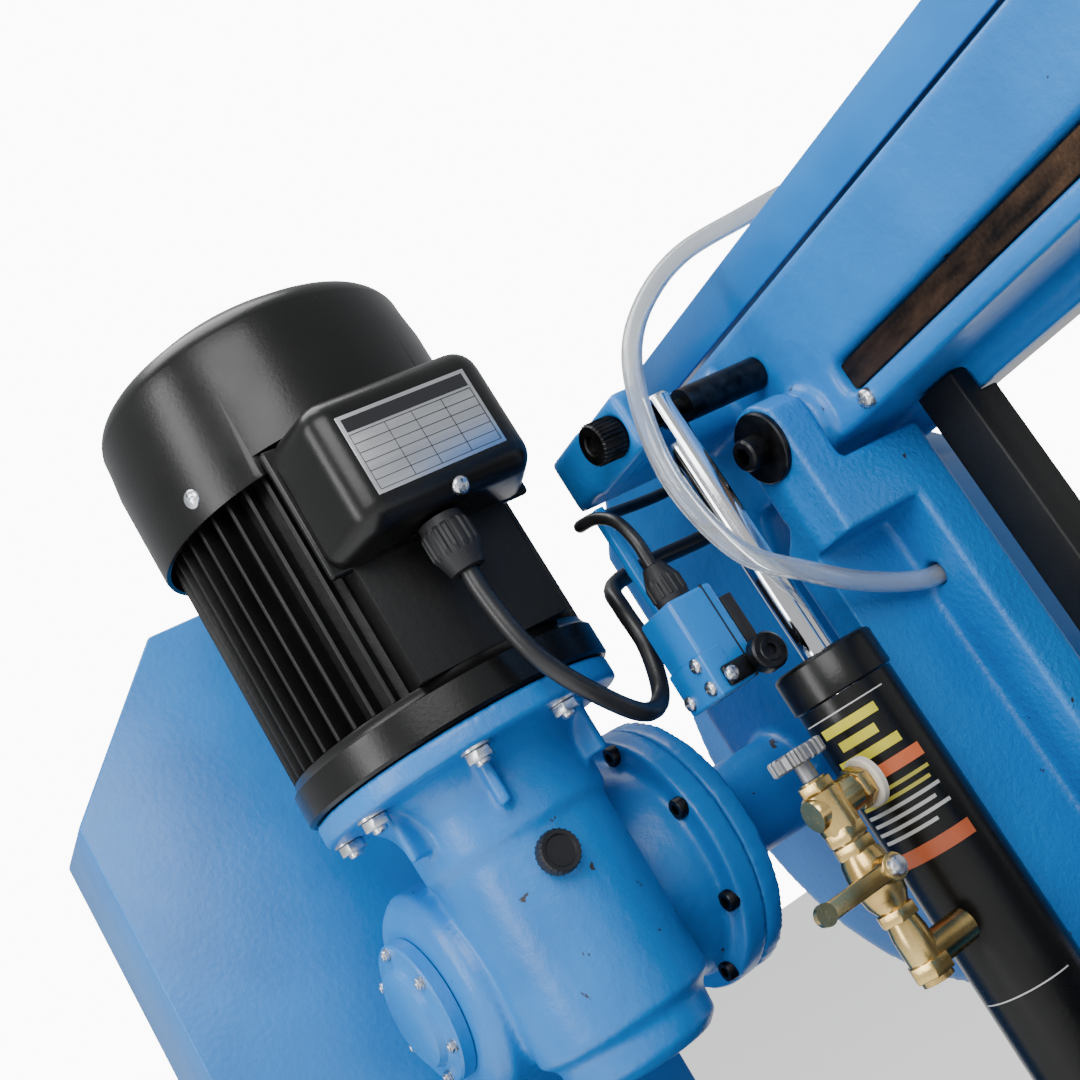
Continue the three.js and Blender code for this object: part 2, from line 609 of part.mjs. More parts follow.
add('ball_lever', join(
  rod('x', [0, valveY, hubZ], 6, [leverX, leverX + 7], 16),
  box([leverX, leverX + 2.4], [valveY - 42, valveY], [hubZ - 4, hubZ + 4]),
), brass);

// Coolant tap on the far side of the top cover
const tapX = 96;
add('coolant_tap', join(
  rod('y', [tapX, 0, 62], 9, [175 + gap, 196], 16),
  rod('z', [tapX, 196, 0], 6, [20, 84], 12),
), brass);

// Hose and cables
const hoseRadius = 5;
add('coolant_hose', tube([
  [hosePort[0], 60, hosePort[1]], [hosePort[0], 44, hosePort[1]], [0, 8, -80], [12, -30, -62],
  [18, -58, -42], [18, -68, -4], [15, -60, 34], [9, -40, 68], [4, -10, 92], [8, 18, 104],
  [22, 52, 105], [42, 96, 104], [66, 144, 105], [88, 182, 103], [tapX, 196, 94], [tapX, 196, 84.5],
], hoseRadius, 10, 60), clearVinyl);

// The two cables, each of which ends in the bow's rear web
add('motor_cable', tube([
  [glandAt[0], glandAt[1], 20], [glandAt[0], glandAt[1], 2], [-27, -148, -34], [-30, -130, -62],
  [-38, -110, -78], [-50, -92, -74], [-57, -80, -50], [-64, -76, -28], [-78, -66, -14], [-94, -30, -8],
  [-100, 8, -8], [-100, 29.4, -8],
], 4.5, 8, 40), rubber);
add('switch_cable', tube([
  [-26, -73, -21.5], [-26, -73, -8], [-32, -73, 6], [-44, -74, 14], [-58, -75, 17], [-76, -56, 22],
  [-100, -30, 26], [-110, 6, 26], [-110, 29.4, 26],
], 3.2, 8, 24), rubber);

// The origin is the centre of the footprint, on the floor
saw.updateMatrixWorld(true);
const bounds = new THREE.Box3().setFromObject(saw, true);
const centre = bounds.getCenter(new THREE.Vector3());
saw.position.set(-centre.x, -centre.y, -bounds.min.z);
saw.updateMatrixWorld(true);

export default saw;
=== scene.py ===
import bpy
import math
from mathutils import Matrix, Vector


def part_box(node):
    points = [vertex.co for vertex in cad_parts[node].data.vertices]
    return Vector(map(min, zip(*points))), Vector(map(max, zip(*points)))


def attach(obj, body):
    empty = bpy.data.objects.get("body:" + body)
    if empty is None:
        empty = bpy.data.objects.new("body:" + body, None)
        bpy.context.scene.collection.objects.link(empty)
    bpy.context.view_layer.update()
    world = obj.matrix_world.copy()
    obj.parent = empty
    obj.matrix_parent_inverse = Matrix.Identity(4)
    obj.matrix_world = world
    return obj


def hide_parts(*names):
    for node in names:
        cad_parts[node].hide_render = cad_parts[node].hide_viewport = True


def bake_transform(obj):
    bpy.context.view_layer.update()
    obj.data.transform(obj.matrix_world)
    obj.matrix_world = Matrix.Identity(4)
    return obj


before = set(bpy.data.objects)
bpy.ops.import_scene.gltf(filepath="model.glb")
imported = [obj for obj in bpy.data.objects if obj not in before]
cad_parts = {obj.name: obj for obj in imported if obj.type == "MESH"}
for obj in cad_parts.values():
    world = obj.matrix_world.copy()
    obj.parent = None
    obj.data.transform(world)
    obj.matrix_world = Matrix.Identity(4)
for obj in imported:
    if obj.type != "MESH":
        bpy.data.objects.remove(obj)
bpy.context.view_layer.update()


# --- Camera ---
# The view is a close one of the drive end, from the motor's side, with the camera rolled
# so that the saw leans to the right. It is placed from the bow's hinge screw.
shaft_low, shaft_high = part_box("hinge_shaft")
hinge = Vector(((shaft_low.x + shaft_high.x) / 2, shaft_low.y, (shaft_low.z + shaft_high.z) / 2))
camera_offset = Vector((0.5416, -0.4398, -0.1206))
camera_right = Vector((0.3285, 0.7898, -0.5180))
camera_up = Vector((0.4070, 0.3721, 0.8342))
camera_data = bpy.data.cameras.new("photo_camera")
camera_data.sensor_width = 36
camera_data.lens = 48.97
camera_data.clip_start = 0.02
camera = bpy.data.objects.new("photo_camera", camera_data)
bpy.context.scene.collection.objects.link(camera)
right = camera_right.normalized()
up = (camera_up - right * camera_up.dot(right)).normalized()
back = right.cross(up)
turn = Matrix((right, up, back)).transposed().to_4x4()
camera.matrix_world = Matrix.Translation(hinge + camera_offset) @ turn
bpy.context.scene.camera = camera


# --- Studio: pale floor, pale surround and soft lamps ---
# The floor is a wide pale sheet under the feet. Three large lamps give long soft
# reflections on the black paint and the chrome.
def plain_finish(name, colour, roughness, metallic=0.0):
    material = bpy.data.materials.new(name)
    material.use_nodes = True
    shader = material.node_tree.nodes["Principled BSDF"]
    shader.inputs["Base Color"].default_value = (*colour, 1)
    shader.inputs["Roughness"].default_value = roughness
    shader.inputs["Metallic"].default_value = metallic
    return material, shader


bpy.ops.object.select_all(action="DESELECT")
bpy.ops.mesh.primitive_plane_add(size=14, location=(0, 0, -0.0005))
floor = bpy.context.object
floor.name = "studio_floor"
floor_sheet, floor_shader = plain_finish("floor_sheet", (0.86, 0.86, 0.86), 0.7)
floor_shader.inputs["Emission Color"].default_value = (1, 1, 1, 1)
floor_shader.inputs["Emission Strength"].default_value = 0.5
floor.data.materials.append(floor_sheet)

world = bpy.data.worlds.new("studio_world")
world.use_nodes = True
fill_light = world.node_tree.nodes["Background"]
fill_light.inputs["Color"].default_value = (0.96, 0.98, 1, 1)
fill_light.inputs["Strength"].default_value = 0.62
backdrop = world.node_tree.nodes.new("ShaderNodeBackground")
backdrop.inputs["Strength"].default_value = 14.0
seen = world.node_tree.nodes.new("ShaderNodeLightPath")
either = world.node_tree.nodes.new("ShaderNodeMixShader")
world.node_tree.links.new(seen.outputs["Is Camera Ray"], either.inputs["Fac"])
world.node_tree.links.new(fill_light.outputs["Background"], either.inputs[1])
world.node_tree.links.new(backdrop.outputs["Background"], either.inputs[2])
world.node_tree.links.new(either.outputs["Shader"], world.node_tree.nodes["World Output"].inputs["Surface"])
bpy.context.scene.world = world


def soft_lamp(name, away, width, height, power):
    lamp_data = bpy.data.lights.new(name, "AREA")
    lamp_data.shape = "RECTANGLE"
    lamp_data.size = width
    lamp_data.size_y = height
    lamp_data.energy = power
    lamp = bpy.data.objects.new(name, lamp_data)
    bpy.context.scene.collection.objects.link(lamp)
    lamp.location = hinge + Vector(away)
    lamp.rotation_euler = (-Vector(away)).to_track_quat("-Z", "Y").to_euler()
    return lamp


soft_lamp("lamp_front", (1.5, -1.0, 0.9), 1.2, 1.2, 34)
soft_lamp("lamp_left", (0.2, -1.9, 0.5), 0.5, 1.6, 24)
soft_lamp("lamp_top", (-0.3, -0.2, 1.9), 1.4, 1.4, 34)


# --- Coolant hose and cables ---
# A clear PVC hose runs from the bracket's port over the bow to the coolant tap. Two black
# cables with round sheaths run from the terminal box and the limit switch into the bow.
# Their points follow the solids, in millimetres from the hinge axis.
# Finishes are noise on Object coordinates. A grain is its cells per metre, its depth in
# metres, its detail and its stretch.
def noise_node(material, scale, detail=3.0, distortion=0.0, stretch=(1, 1, 1)):
    nodes, links = material.node_tree.nodes, material.node_tree.links
    place = nodes.new("ShaderNodeTexCoord")
    mapping = nodes.new("ShaderNodeMapping")
    mapping.inputs["Scale"].default_value = stretch
    noise = nodes.new("ShaderNodeTexNoise")
    noise.inputs["Scale"].default_value = scale
    noise.inputs["Detail"].default_value = detail
    noise.inputs["Distortion"].default_value = distortion
    links.new(place.outputs["Object"], mapping.inputs["Vector"])
    links.new(mapping.outputs["Vector"], noise.inputs["Vector"])
    return noise


def ramp_node(material, source, stops):
    ramp = material.node_tree.nodes.new("ShaderNodeValToRGB")
    ramp.color_ramp.elements[0].position = stops[0][0]
    ramp.color_ramp.elements[0].color = (*stops[0][1], 1)
    ramp.color_ramp.elements[1].position = stops[-1][0]
    ramp.color_ramp.elements[1].color = (*stops[-1][1], 1)
    for position, colour in stops[1:-1]:
        ramp.color_ramp.elements.new(position).color = (*colour, 1)
    material.node_tree.links.new(source, ramp.inputs["Fac"])
    return ramp


def add_grain(material, shader, grains):
    nodes, links = material.node_tree.nodes, material.node_tree.links
    below = None
    for scale, depth, detail, stretch in grains:
        noise = noise_node(material, scale, detail, 0.0, stretch)
        bump = nodes.new("ShaderNodeBump")
        bump.inputs["Strength"].default_value = 1.0
        bump.inputs["Distance"].default_value = depth
        links.new(noise.outputs["Fac"], bump.inputs["Height"])
        if below is not None:
            links.new(below.outputs["Normal"], bump.inputs["Normal"])
        below = bump
    links.new(below.outputs["Normal"], shader.inputs["Normal"])


def add_tone(material, shader, scale, dark, light, low=0.3, high=0.7, stretch=(1, 1, 1), detail=4.0):
    noise = noise_node(material, scale, detail, 0.2, stretch)
    ramp = ramp_node(material, noise.outputs["Fac"], [(low, dark), (high, light)])
    material.node_tree.links.new(ramp.outputs["Color"], shader.inputs["Base Color"])
    return ramp


even = (1, 1, 1)
origin = hinge - Vector((0, 0.0003, 0))
millimetre = 0.001


def smooth_route(points, per_span=10):
    knots = [Vector(p) * millimetre + origin for p in points]
    knots = [knots[0] * 2 - knots[1]] + knots + [knots[-1] * 2 - knots[-2]]
    route = []
    for a, b, c, d in zip(knots, knots[1:], knots[2:], knots[3:]):
        times = [0.0]
        for start, stop in ((a, b), (b, c), (c, d)):
            times.append(times[-1] + max((stop - start).length, 1e-6) ** 0.5)
        for i in range(per_span):
            t = times[1] + (times[2] - times[1]) * i / per_span

            def between(p, q, tp, tq):
                return p * ((tq - t) / (tq - tp)) + q * ((t - tp) / (tq - tp))

            ab = between(a, b, times[0], times[1])
            bc = between(b, c, times[1], times[2])
            cd = between(c, d, times[2], times[3])
            abc = between(ab, bc, times[0], times[2])
            bcd = between(bc, cd, times[1], times[3])
            route.append(between(abc, bcd, times[1], times[2]))
    return route + [knots[-2]]


def drawn_tube(name, route, radius, sides=24, capped=True):
    curve = bpy.data.curves.new(name, "CURVE")
    curve.dimensions = "3D"
    curve.bevel_depth = radius
    curve.bevel_resolution = sides // 4 - 1
    curve.use_fill_caps = capped
    line = curve.splines.new("POLY")
    line.points.add(len(route) - 1)
    for point, place in zip(line.points, route):
        point.co = (*place, 1)
    tube = bpy.data.objects.new(name, curve)
    bpy.context.scene.collection.objects.link(tube)
    bpy.ops.object.select_all(action="DESELECT")
    tube.select_set(True)
    bpy.context.view_layer.objects.active = tube
    bpy.ops.object.convert(target="MESH")
    tube = bpy.context.object
    tube.name = name
    bpy.ops.object.shade_smooth()
    return tube


clear_vinyl, vinyl_shader = plain_finish("clear_vinyl", (0.93, 0.96, 0.98), 0.1)
vinyl_shader.inputs["Transmission Weight"].default_value = 0.88
vinyl_shader.inputs["IOR"].default_value = 1.38
add_grain(clear_vinyl, vinyl_shader, [(60, 0.0003, 2, even)])
sheath, sheath_shader = plain_finish("cable_sheath", (0.008, 0.008, 0.009), 0.36)
add_tone(sheath, sheath_shader, 60, (0.005, 0.005, 0.006), (0.012, 0.012, 0.013))
add_grain(sheath, sheath_shader, [(900, 0.00008, 2, even)])

port_x, port_z = -6, -92
hose_points = [
    (port_x, 60, port_z), (port_x, 44, port_z), (0, 8, -80), (12, -30, -62),
    (18, -58, -42), (18, -68, -4), (15, -60, 34), (9, -40, 68), (4, -10, 92), (8, 18, 104),
    (22, 52, 105), (42, 96, 104), (66, 144, 105), (88, 182, 103), (96, 196, 94), (96, 196, 84.5)]
hose_route = smooth_route(hose_points)
hose = drawn_tube("coolant_hose_clear", hose_route, 0.005, 28, capped=False)
hose.data.materials.append(clear_vinyl)
wall = hose.modifiers.new("wall", "SOLIDIFY")
wall.thickness = 0.0014
wall.offset = -1
bpy.ops.object.modifier_apply(modifier=wall.name)
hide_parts("coolant_hose")

gland_low, gland_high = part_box("motor_gland")
gland_x = ((gland_low.x + gland_high.x) / 2 - origin.x) / millimetre
gland_y = ((gland_low.y + gland_high.y) / 2 - origin.y) / millimetre
motor_cable_points = [
    (gland_x, gland_y, 20), (gland_x, gland_y, 2), (-27, -148, -34), (-30, -130, -62),
    (-38, -110, -78), (-50, -92, -74), (-57, -80, -50), (-64, -76, -28), (-78, -66, -14),
    (-94, -30, -8), (-100, 8, -8), (-100, 29.4, -8)]
switch_cable_points = [
    (-26, -73, -21.5), (-26, -73, -8), (-32, -73, 6), (-44, -74, 14), (-58, -75, 17),
    (-76, -56, 22), (-100, -30, 26), (-110, 6, 26), (-110, 29.4, 26)]
for node, points, radius in (("motor_cable", motor_cable_points, 0.0045),
                             ("switch_cable", switch_cable_points, 0.0032)):
    cable_route = smooth_route(points)
    cable = drawn_tube(node + "_sheath", cable_route, radius)
    cable.data.materials.append(sheath)
    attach(cable, "bow")
    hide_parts(node)
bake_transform(hose)


# --- Motor frame ---
# An extruded aluminium frame with tall cooling fins all round, painted black, with a flat
# pad under the terminal box. One fin is drawn, then copied round the frame.
def add_sheen_spread(material, shader, scale, low, high, stretch=(1, 1, 1)):
    noise = noise_node(material, scale, 4.0, 0.0, stretch)
    spread = material.node_tree.nodes.new("ShaderNodeMapRange")
    spread.inputs["To Min"].default_value = low
    spread.inputs["To Max"].default_value = high
    material.node_tree.links.new(noise.outputs["Fac"], spread.inputs["Value"])
    material.node_tree.links.new(spread.outputs["Result"], shader.inputs["Roughness"])


def add_chips(material, shader, toned):
    chips = noise_node(material, 75, 5.0, 0.4)
    spread = ramp_node(material, chips.outputs["Fac"], [(0.715, (0, 0, 0)), (0.725, (1, 1, 1))])
    chipped = material.node_tree.nodes.new("ShaderNodeMix")
    chipped.data_type = "RGBA"
    links = material.node_tree.links
    links.new(spread.outputs["Color"], chipped.inputs["Factor"])
    links.new(toned.outputs["Color"], chipped.inputs["A"])
    chipped.inputs["B"].default_value = (0.035, 0.03, 0.03, 1)
    links.new(chipped.outputs["Result"], shader.inputs["Base Color"])


def paint(name, dark, light, grains, rough=(0.3, 0.5), coat=0.3, specular=0.5, chips=False):
    material, shader = plain_finish(name, light, rough[0])
    toned = add_tone(material, shader, 14, dark, light)
    if chips:
        add_chips(material, shader, toned)
    shader.inputs["Specular IOR Level"].default_value = specular
    add_sheen_spread(material, shader, 60, *rough)
    add_grain(material, shader, grains)
    shader.inputs["Coat Weight"].default_value = coat
    shader.inputs["Coat Roughness"].default_value = 0.25
    return material


black_satin = paint("black_satin_paint", (0.003, 0.003, 0.003), (0.008, 0.008, 0.008),
                    [(260, 0.00018, 3, even), (1600, 0.00008, 2, even)], (0.36, 0.56), 0.0, 0.3)


# Castings start from a copy of their solid. Turned pieces are a profile spun round a line.
def pick(piece):
    if bpy.context.object and bpy.context.object.mode != "OBJECT":
        bpy.ops.object.mode_set(mode="OBJECT")
    bpy.ops.object.select_all(action="DESELECT")
    piece.select_set(True)
    bpy.context.view_layer.objects.active = piece


def apply_modifier(piece, kind, **values):
    pick(piece)
    modifier = piece.modifiers.new(kind.lower(), kind)
    for key, value in values.items():
        setattr(modifier, key, value)
    bpy.ops.object.modifier_apply(modifier=modifier.name)


def soften_edges(piece, width, segments=3, angle=30):
    apply_modifier(piece, "BEVEL", width=width, segments=segments, limit_method="ANGLE",
                   angle_limit=math.radians(angle))
    pick(piece)
    bpy.ops.object.shade_smooth_by_angle(angle=math.radians(38))


def fit_out(piece, material, body, slot, *nodes):
    piece.data.materials.clear()
    piece.data.materials.append(material)
    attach(piece, body)
    if nodes:
        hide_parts(*nodes)
    return piece


def finish_ring(piece, angle=35):
    bpy.ops.mesh.select_all(action="SELECT")
    bpy.ops.mesh.remove_doubles(threshold=0.00001)
    bpy.ops.mesh.normals_make_consistent(inside=False)
    bpy.ops.object.mode_set(mode="OBJECT")
    bpy.ops.object.shade_smooth_by_angle(angle=math.radians(angle))
    return piece


def turned(name, axis, centre, profile, steps=72):
    out = Vector((0, 0, 1)) if axis == "x" else Vector((1, 0, 0))
    along = {"x": Vector((1, 0, 0)), "y": Vector((0, 1, 0)), "z": Vector((0, 0, 1))}[axis]
    centre = Vector(centre)
    places = [centre + out * r + along * (a - centre.dot(along)) for r, a in profile]
    bpy.ops.object.select_all(action="DESELECT")
    bpy.ops.mesh.primitive_plane_add(size=0.001, location=(0, 0, 0))
    piece = bpy.context.object
    piece.name = name
    bpy.ops.object.mode_set(mode="EDIT")
    bpy.ops.mesh.merge(type="CENTER")
    bpy.ops.transform.translate(value=places[0])
    for start, stop in zip(places, places[1:]):
        bpy.ops.mesh.extrude_region_move(TRANSFORM_OT_translate={"value": stop - start})
    bpy.ops.mesh.select_all(action="SELECT")
    bpy.ops.mesh.spin(steps=steps, angle=math.tau, center=centre, axis=along)
    return finish_ring(piece)


def block(name, low, high):
    middle = (Vector(low) + Vector(high)) / 2
    bpy.ops.object.select_all(action="DESELECT")
    bpy.ops.mesh.primitive_cube_add(size=1, location=middle, scale=Vector(high) - Vector(low))
    bpy.ops.object.transform_apply(location=True, rotation=True, scale=True)
    bpy.context.object.name = name
    return bpy.context.object


def joined(pieces, name):
    pick(pieces[0])
    for piece in pieces[1:]:
        piece.select_set(True)
    bpy.ops.object.join()
    bpy.context.object.name = name
    return bpy.context.object


shield_low, shield_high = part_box("motor_shield")
frame_low, frame_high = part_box("motor_frame")
cowl_low, cowl_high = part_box("fan_cover")
motor_axis = (shield_low + shield_high) / 2
motor_axis.z = 0
fin_root, fin_tip, fin_half = 0.0705, (frame_high.x - frame_low.x) / 2, 0.0011
fin_count = 46
fin_pieces = [turned("motor_core", "z", motor_axis, [
    (0.047, frame_low.z), (fin_root, frame_low.z), (fin_root, frame_high.z),
    (0.047, frame_high.z), (0.047, frame_low.z)], 96)]
pad_angle = math.radians(2)
for i in range(fin_count):
    angle = math.tau * (i + 0.5) / fin_count
    if abs(angle - pad_angle) < 0.62 or abs(angle - pad_angle - math.tau) < 0.62:
        continue
    fin = block("fin", (fin_root - 0.002, -fin_half, frame_low.z), (fin_tip, fin_half, frame_high.z))
    fin.data.transform(Matrix.Translation(motor_axis) @ Matrix.Rotation(angle, 4, "Z"))
    fin_pieces.append(fin)
box_low, box_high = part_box("terminal_box")
pad = block("pad", (motor_axis.x + 0.045, box_low.y + 0.012, frame_low.z),
            (fin_tip + motor_axis.x - 0.0015, box_high.y - 0.018, frame_high.z))
fin_pieces.append(pad)
motor_frame = joined(fin_pieces, "motor_frame_finned")
soften_edges(motor_frame, 0.0005, 2)
fit_out(motor_frame, black_satin, "bow", "black_paint", "motor_frame")


# --- Motor end shield and fan cover ---
# The end shield is a cast ring, the fan cover a pressed steel cup with a rounded shoulder
# and slots in its end. Both are painted gloss black.
black_gloss = paint("black_gloss_paint", (0.002, 0.002, 0.002), (0.005, 0.005, 0.005),
                    [(500, 0.00006, 2, even)], (0.22, 0.36), 0.06, 0.3)


def arc(r, a, radius, start, stop, steps=5):
    angles = [math.radians(start + (stop - start) * i / steps) for i in range(steps + 1)]
    return [(r + radius * math.cos(t), a + radius * math.sin(t)) for t in angles]


def cut_away(piece, *tools):
    for tool in tools:
        apply_modifier(piece, "BOOLEAN", operation="DIFFERENCE", solver="EXACT", object=tool)
        bpy.data.objects.remove(tool)


radius = (shield_high.x - shield_low.x) / 2
lip = 0.0015
shield = turned("motor_end_shield", "z", motor_axis, [
    (0.014, shield_low.z), (radius - lip, shield_low.z), (radius, shield_low.z + lip),
    (radius, shield_high.z - 0.005), (radius - 0.002, shield_high.z - 0.003),
    (radius - 0.003, shield_high.z), (0.014, shield_high.z), (0.014, shield_low.z)], 128)
fit_out(shield, black_gloss, "bow", "black_paint", "motor_shield")

radius = (cowl_high.x - cowl_low.x) / 2
crown = cowl_high.z
shoulder = 0.017
outer = [(radius - 0.0004, cowl_low.z), (radius, cowl_low.z + 0.002), (radius, cowl_low.z + 0.05),
         (radius - 0.0015, crown - 0.030)]
outer += arc(radius - 0.0015 - shoulder, crown - 0.012 - shoulder + 0.003, shoulder, 12, 62, 8)
outer += [(0.062, crown - 0.0035), (0.054, crown - 0.0005), (0.030, crown), (0.0001, crown)]
inner = [(max(r - 0.0024, 0.0001), a - (0.002 if a > crown - 0.03 else 0)) for r, a in reversed(outer)]
inner[-1] = (radius - 0.0026, cowl_low.z)
cowl = turned("fan_cover_pressed", "z", motor_axis, outer + inner + [outer[0]], 128)
slots = []
for i in range(8):
    for ring_radius, half in ((0.022, 0.008), (0.044, 0.009)):
        slot_bar = block("slot", (ring_radius - half, -0.003, crown - 0.012),
                         (ring_radius + half, 0.003, crown + 0.01))
        slot_bar.data.transform(Matrix.Translation(motor_axis) @ Matrix.Rotation(math.tau * i / 8, 4, "Z"))
        slots.append(slot_bar)
notch = block("notch", (box_low.x - 0.001, box_low.y - 0.003, cowl_low.z - 0.01),
              (box_high.x, box_high.y + 0.003, box_high.z + 0.0012))
cut_away(cowl, joined(slots, "slots"), notch)
pick(cowl)
bpy.ops.object.shade_smooth_by_angle(angle=math.radians(38))
fit_out(cowl, black_gloss, "bow", "black_paint", "fan_cover")


# --- Cross-head screws, socket screws and hex bolts ---
# Small zinc cross-head screws hold the covers, black socket screws hold the gearbox, and
# zinc hex bolts with washers hold the motor. Each kind is made once and copied.
def aim(piece, place, direction):
    spin = Vector(direction).to_track_quat("Z", "Y").to_matrix().to_4x4()
    piece.data.transform(Matrix.Translation(Vector(place)) @ spin)
    return piece


def copy_to(model, name, place, direction, material, body, slot, scale=1.0):
    piece = bpy.data.objects.new(name, model.data.copy())
    bpy.context.scene.collection.objects.link(piece)
    piece.data.transform(Matrix.Scale(scale, 4))
    aim(piece, place, direction)
    return fit_out(piece, material, body, slot)


cross_screw = turned("cross_screw_model", "z", (0, 0, 0), [
    (0, -0.001), (0.0045, -0.001), (0.0045, 0.0008), (0.0040, 0.0018), (0.0028, 0.0026), (0, 0.003)], 32)
cut_away(cross_screw, block("arm", (-0.0026, -0.0005, 0.0012), (0.0026, 0.0005, 0.005)),
         block("arm", (-0.0005, -0.0026, 0.0012), (0.0005, 0.0026, 0.005)))
socket_screw = turned("socket_screw_model", "z", (0, 0, 0), [
    (0, 0), (0.0065, 0), (0.0065, 0.0055), (0.0060, 0.0065), (0, 0.0065)], 40)
bpy.ops.mesh.primitive_cylinder_add(vertices=6, radius=0.0036, depth=0.008, location=(0, 0, 0.0065))
cut_away(socket_screw, bpy.context.object)
bpy.ops.mesh.primitive_cylinder_add(vertices=6, radius=0.0074, depth=0.0052, location=(0, 0, 0.0042))
hex_head = bpy.context.object
bpy.ops.object.transform_apply(location=True, rotation=True, scale=True)
soften_edges(hex_head, 0.0005, 2)
washer = turned("washer", "z", (0, 0, 0), [
    (0.004, 0), (0.0085, 0), (0.0085, 0.0014), (0.004, 0.0014), (0.004, 0)], 40)
shank = turned("shank", "z", (0, 0, 0), [
    (0, 0.0064), (0.004, 0.0064), (0.004, 0.0085), (0.0034, 0.0092), (0, 0.0092)], 32)
hex_bolt = joined([hex_head, washer, shank], "hex_bolt_model")


# --- Terminal box and its nameplate ---
# A deep-drawn steel box with rounded shoulders over the motor's pad. Its silver plate is
# ruled for ratings and left blank, and one screw holds the lid from below.
def metal(name, dark, light, rough, grains, tone_scale=40, stretch=even):
    material, shader = plain_finish(name, light, rough[0], 1.0)
    add_tone(material, shader, tone_scale, dark, light, stretch=stretch)
    add_sheen_spread(material, shader, 160, *rough, stretch=stretch)
    add_grain(material, shader, grains)
    return material


zinc_steel = metal("zinc_plated_steel", (0.50, 0.52, 0.55), (0.72, 0.74, 0.77), (0.2, 0.36),
                   [(600, 0.00005, 2, even)])
terminal = block("terminal_box_drawn", box_low, box_high)
bpy.ops.object.mode_set(mode="EDIT")
bpy.ops.mesh.select_all(action="SELECT")
bpy.ops.mesh.subdivide(number_cuts=1)
bpy.ops.object.mode_set(mode="OBJECT")
middle = (box_low + box_high) / 2
for vertex in terminal.data.vertices:
    depth = (vertex.co.x - box_low.x) / (box_high.x - box_low.x)
    vertex.co.y = middle.y + (vertex.co.y - middle.y) * (1 - 0.20 * depth)
    vertex.co.z = middle.z + (vertex.co.z - middle.z) * (1 - 0.06 * depth)
apply_modifier(terminal, "BEVEL", width=0.012, segments=6, limit_method="ANGLE", angle_limit=math.radians(50))
pick(terminal)
bpy.ops.object.shade_smooth_by_angle(angle=math.radians(40))
fit_out(terminal, black_gloss, "bow", "black_paint", "terminal_box")
rim_low = Vector((box_low.x, box_low.y + 0.001, box_low.z + 0.001))
rim = block("terminal_box_rim", rim_low, (box_low.x + 0.005, box_high.y - 0.001, box_high.z - 0.0005))
soften_edges(rim, 0.002, 3)
fit_out(rim, black_gloss, "bow", "black_paint")

plate_metal = metal("brushed_nameplate", (0.50, 0.51, 0.53), (0.62, 0.63, 0.65), (0.26, 0.36),
                    [(400, 0.00002, 2, (1, 12, 1))], 200, (1, 0.1, 1))
plate_ink, ink_shader = plain_finish("nameplate_ink", (0.01, 0.01, 0.011), 0.4)
add_grain(plate_ink, ink_shader, [(900, 0.00002, 2, even)])
plate_x = box_high.x - 0.0002
plate_y = (middle.y - 0.034, middle.y + 0.034)
plate_z = (middle.z - 0.020, middle.z + 0.020)
nameplate = block("nameplate", (plate_x - 0.001, plate_y[0], plate_z[0]),
                  (plate_x + 0.0007, plate_y[1], plate_z[1]))
soften_edges(nameplate, 0.0003, 2)
fit_out(nameplate, plate_metal, "bow", "steel")


def ink_bar(name, y, z):
    return block(name, (plate_x + 0.0005, y[0], z[0]), (plate_x + 0.00085, y[1], z[1]))


ink_bars = [ink_bar("title", (plate_y[0] + 0.002, plate_y[1] - 0.002),
                    (plate_z[1] - 0.0085, plate_z[1] - 0.002))]
rows, line_half = 6, 0.00016
row_z = [plate_z[0] + 0.002 + (plate_z[1] - 0.0100 - plate_z[0] - 0.002) * i / rows for i in range(rows + 1)]
for z in row_z:
    ink_bars.append(ink_bar("rule", (plate_y[0] + 0.002, plate_y[1] - 0.002), (z - line_half, z + line_half)))
for y in (plate_y[0] + 0.002, plate_y[0] + 0.020, plate_y[0] + 0.034, plate_y[0] + 0.050, plate_y[1] - 0.002):
    ink_bars.append(ink_bar("rule", (y - line_half, y + line_half), (row_z[0], row_z[-1])))
fit_out(joined(ink_bars, "nameplate_rules"), plate_ink, "bow", "black_paint")
copy_to(cross_screw, "terminal_box_screw", (box_high.x - 0.004, middle.y + 0.004, box_low.z + 0.006),
        (0.85, 0.1, -0.35), zinc_steel, "bow", "steel")
screw_angle = -1.02
screw_out = Vector((math.cos(screw_angle), math.sin(screw_angle), 0))
copy_to(cross_screw, "fan_cover_screw",
        motor_axis + screw_out * (radius - 0.0012) + Vector((0, 0, cowl_low.z + 0.012)),
        screw_out, zinc_steel, "bow", "steel", 1.1)


# --- Pivot bracket ---
# A grey iron casting on the base, with soft cast edges under thick blue paint. Its arm
# carries the hinge shaft, and a hole in its side flange lets the coolant hose in.
blue_dark, blue_light = (0.008, 0.145, 0.45), (0.014, 0.195, 0.57)
hammer_paint = paint("blue_hammer_paint", blue_dark, blue_light,
                     [(330, 0.0007, 2, even), (1400, 0.0002, 2, even)], (0.3, 0.5), 0.2, 0.4, True)
def at(x, y, z):
    return origin + Vector((x, y, z)) * millimetre


def as_cast(piece, voxel, passes):
    apply_modifier(piece, "REMESH", mode="VOXEL", voxel_size=voxel, use_smooth_shade=True)
    apply_modifier(piece, "SMOOTH", factor=0.5, iterations=passes)
    return piece


def cast_copy(node, name, material, body, slot, voxel, passes):
    piece = bpy.data.objects.new(name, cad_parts[node].data.copy())
    bpy.context.scene.collection.objects.link(piece)
    return fit_out(as_cast(piece, voxel, passes), material, body, slot, node)


cast_copy("bracket", "pivot_bracket", hammer_paint, "base", "blue_paint", 0.0018, 4)


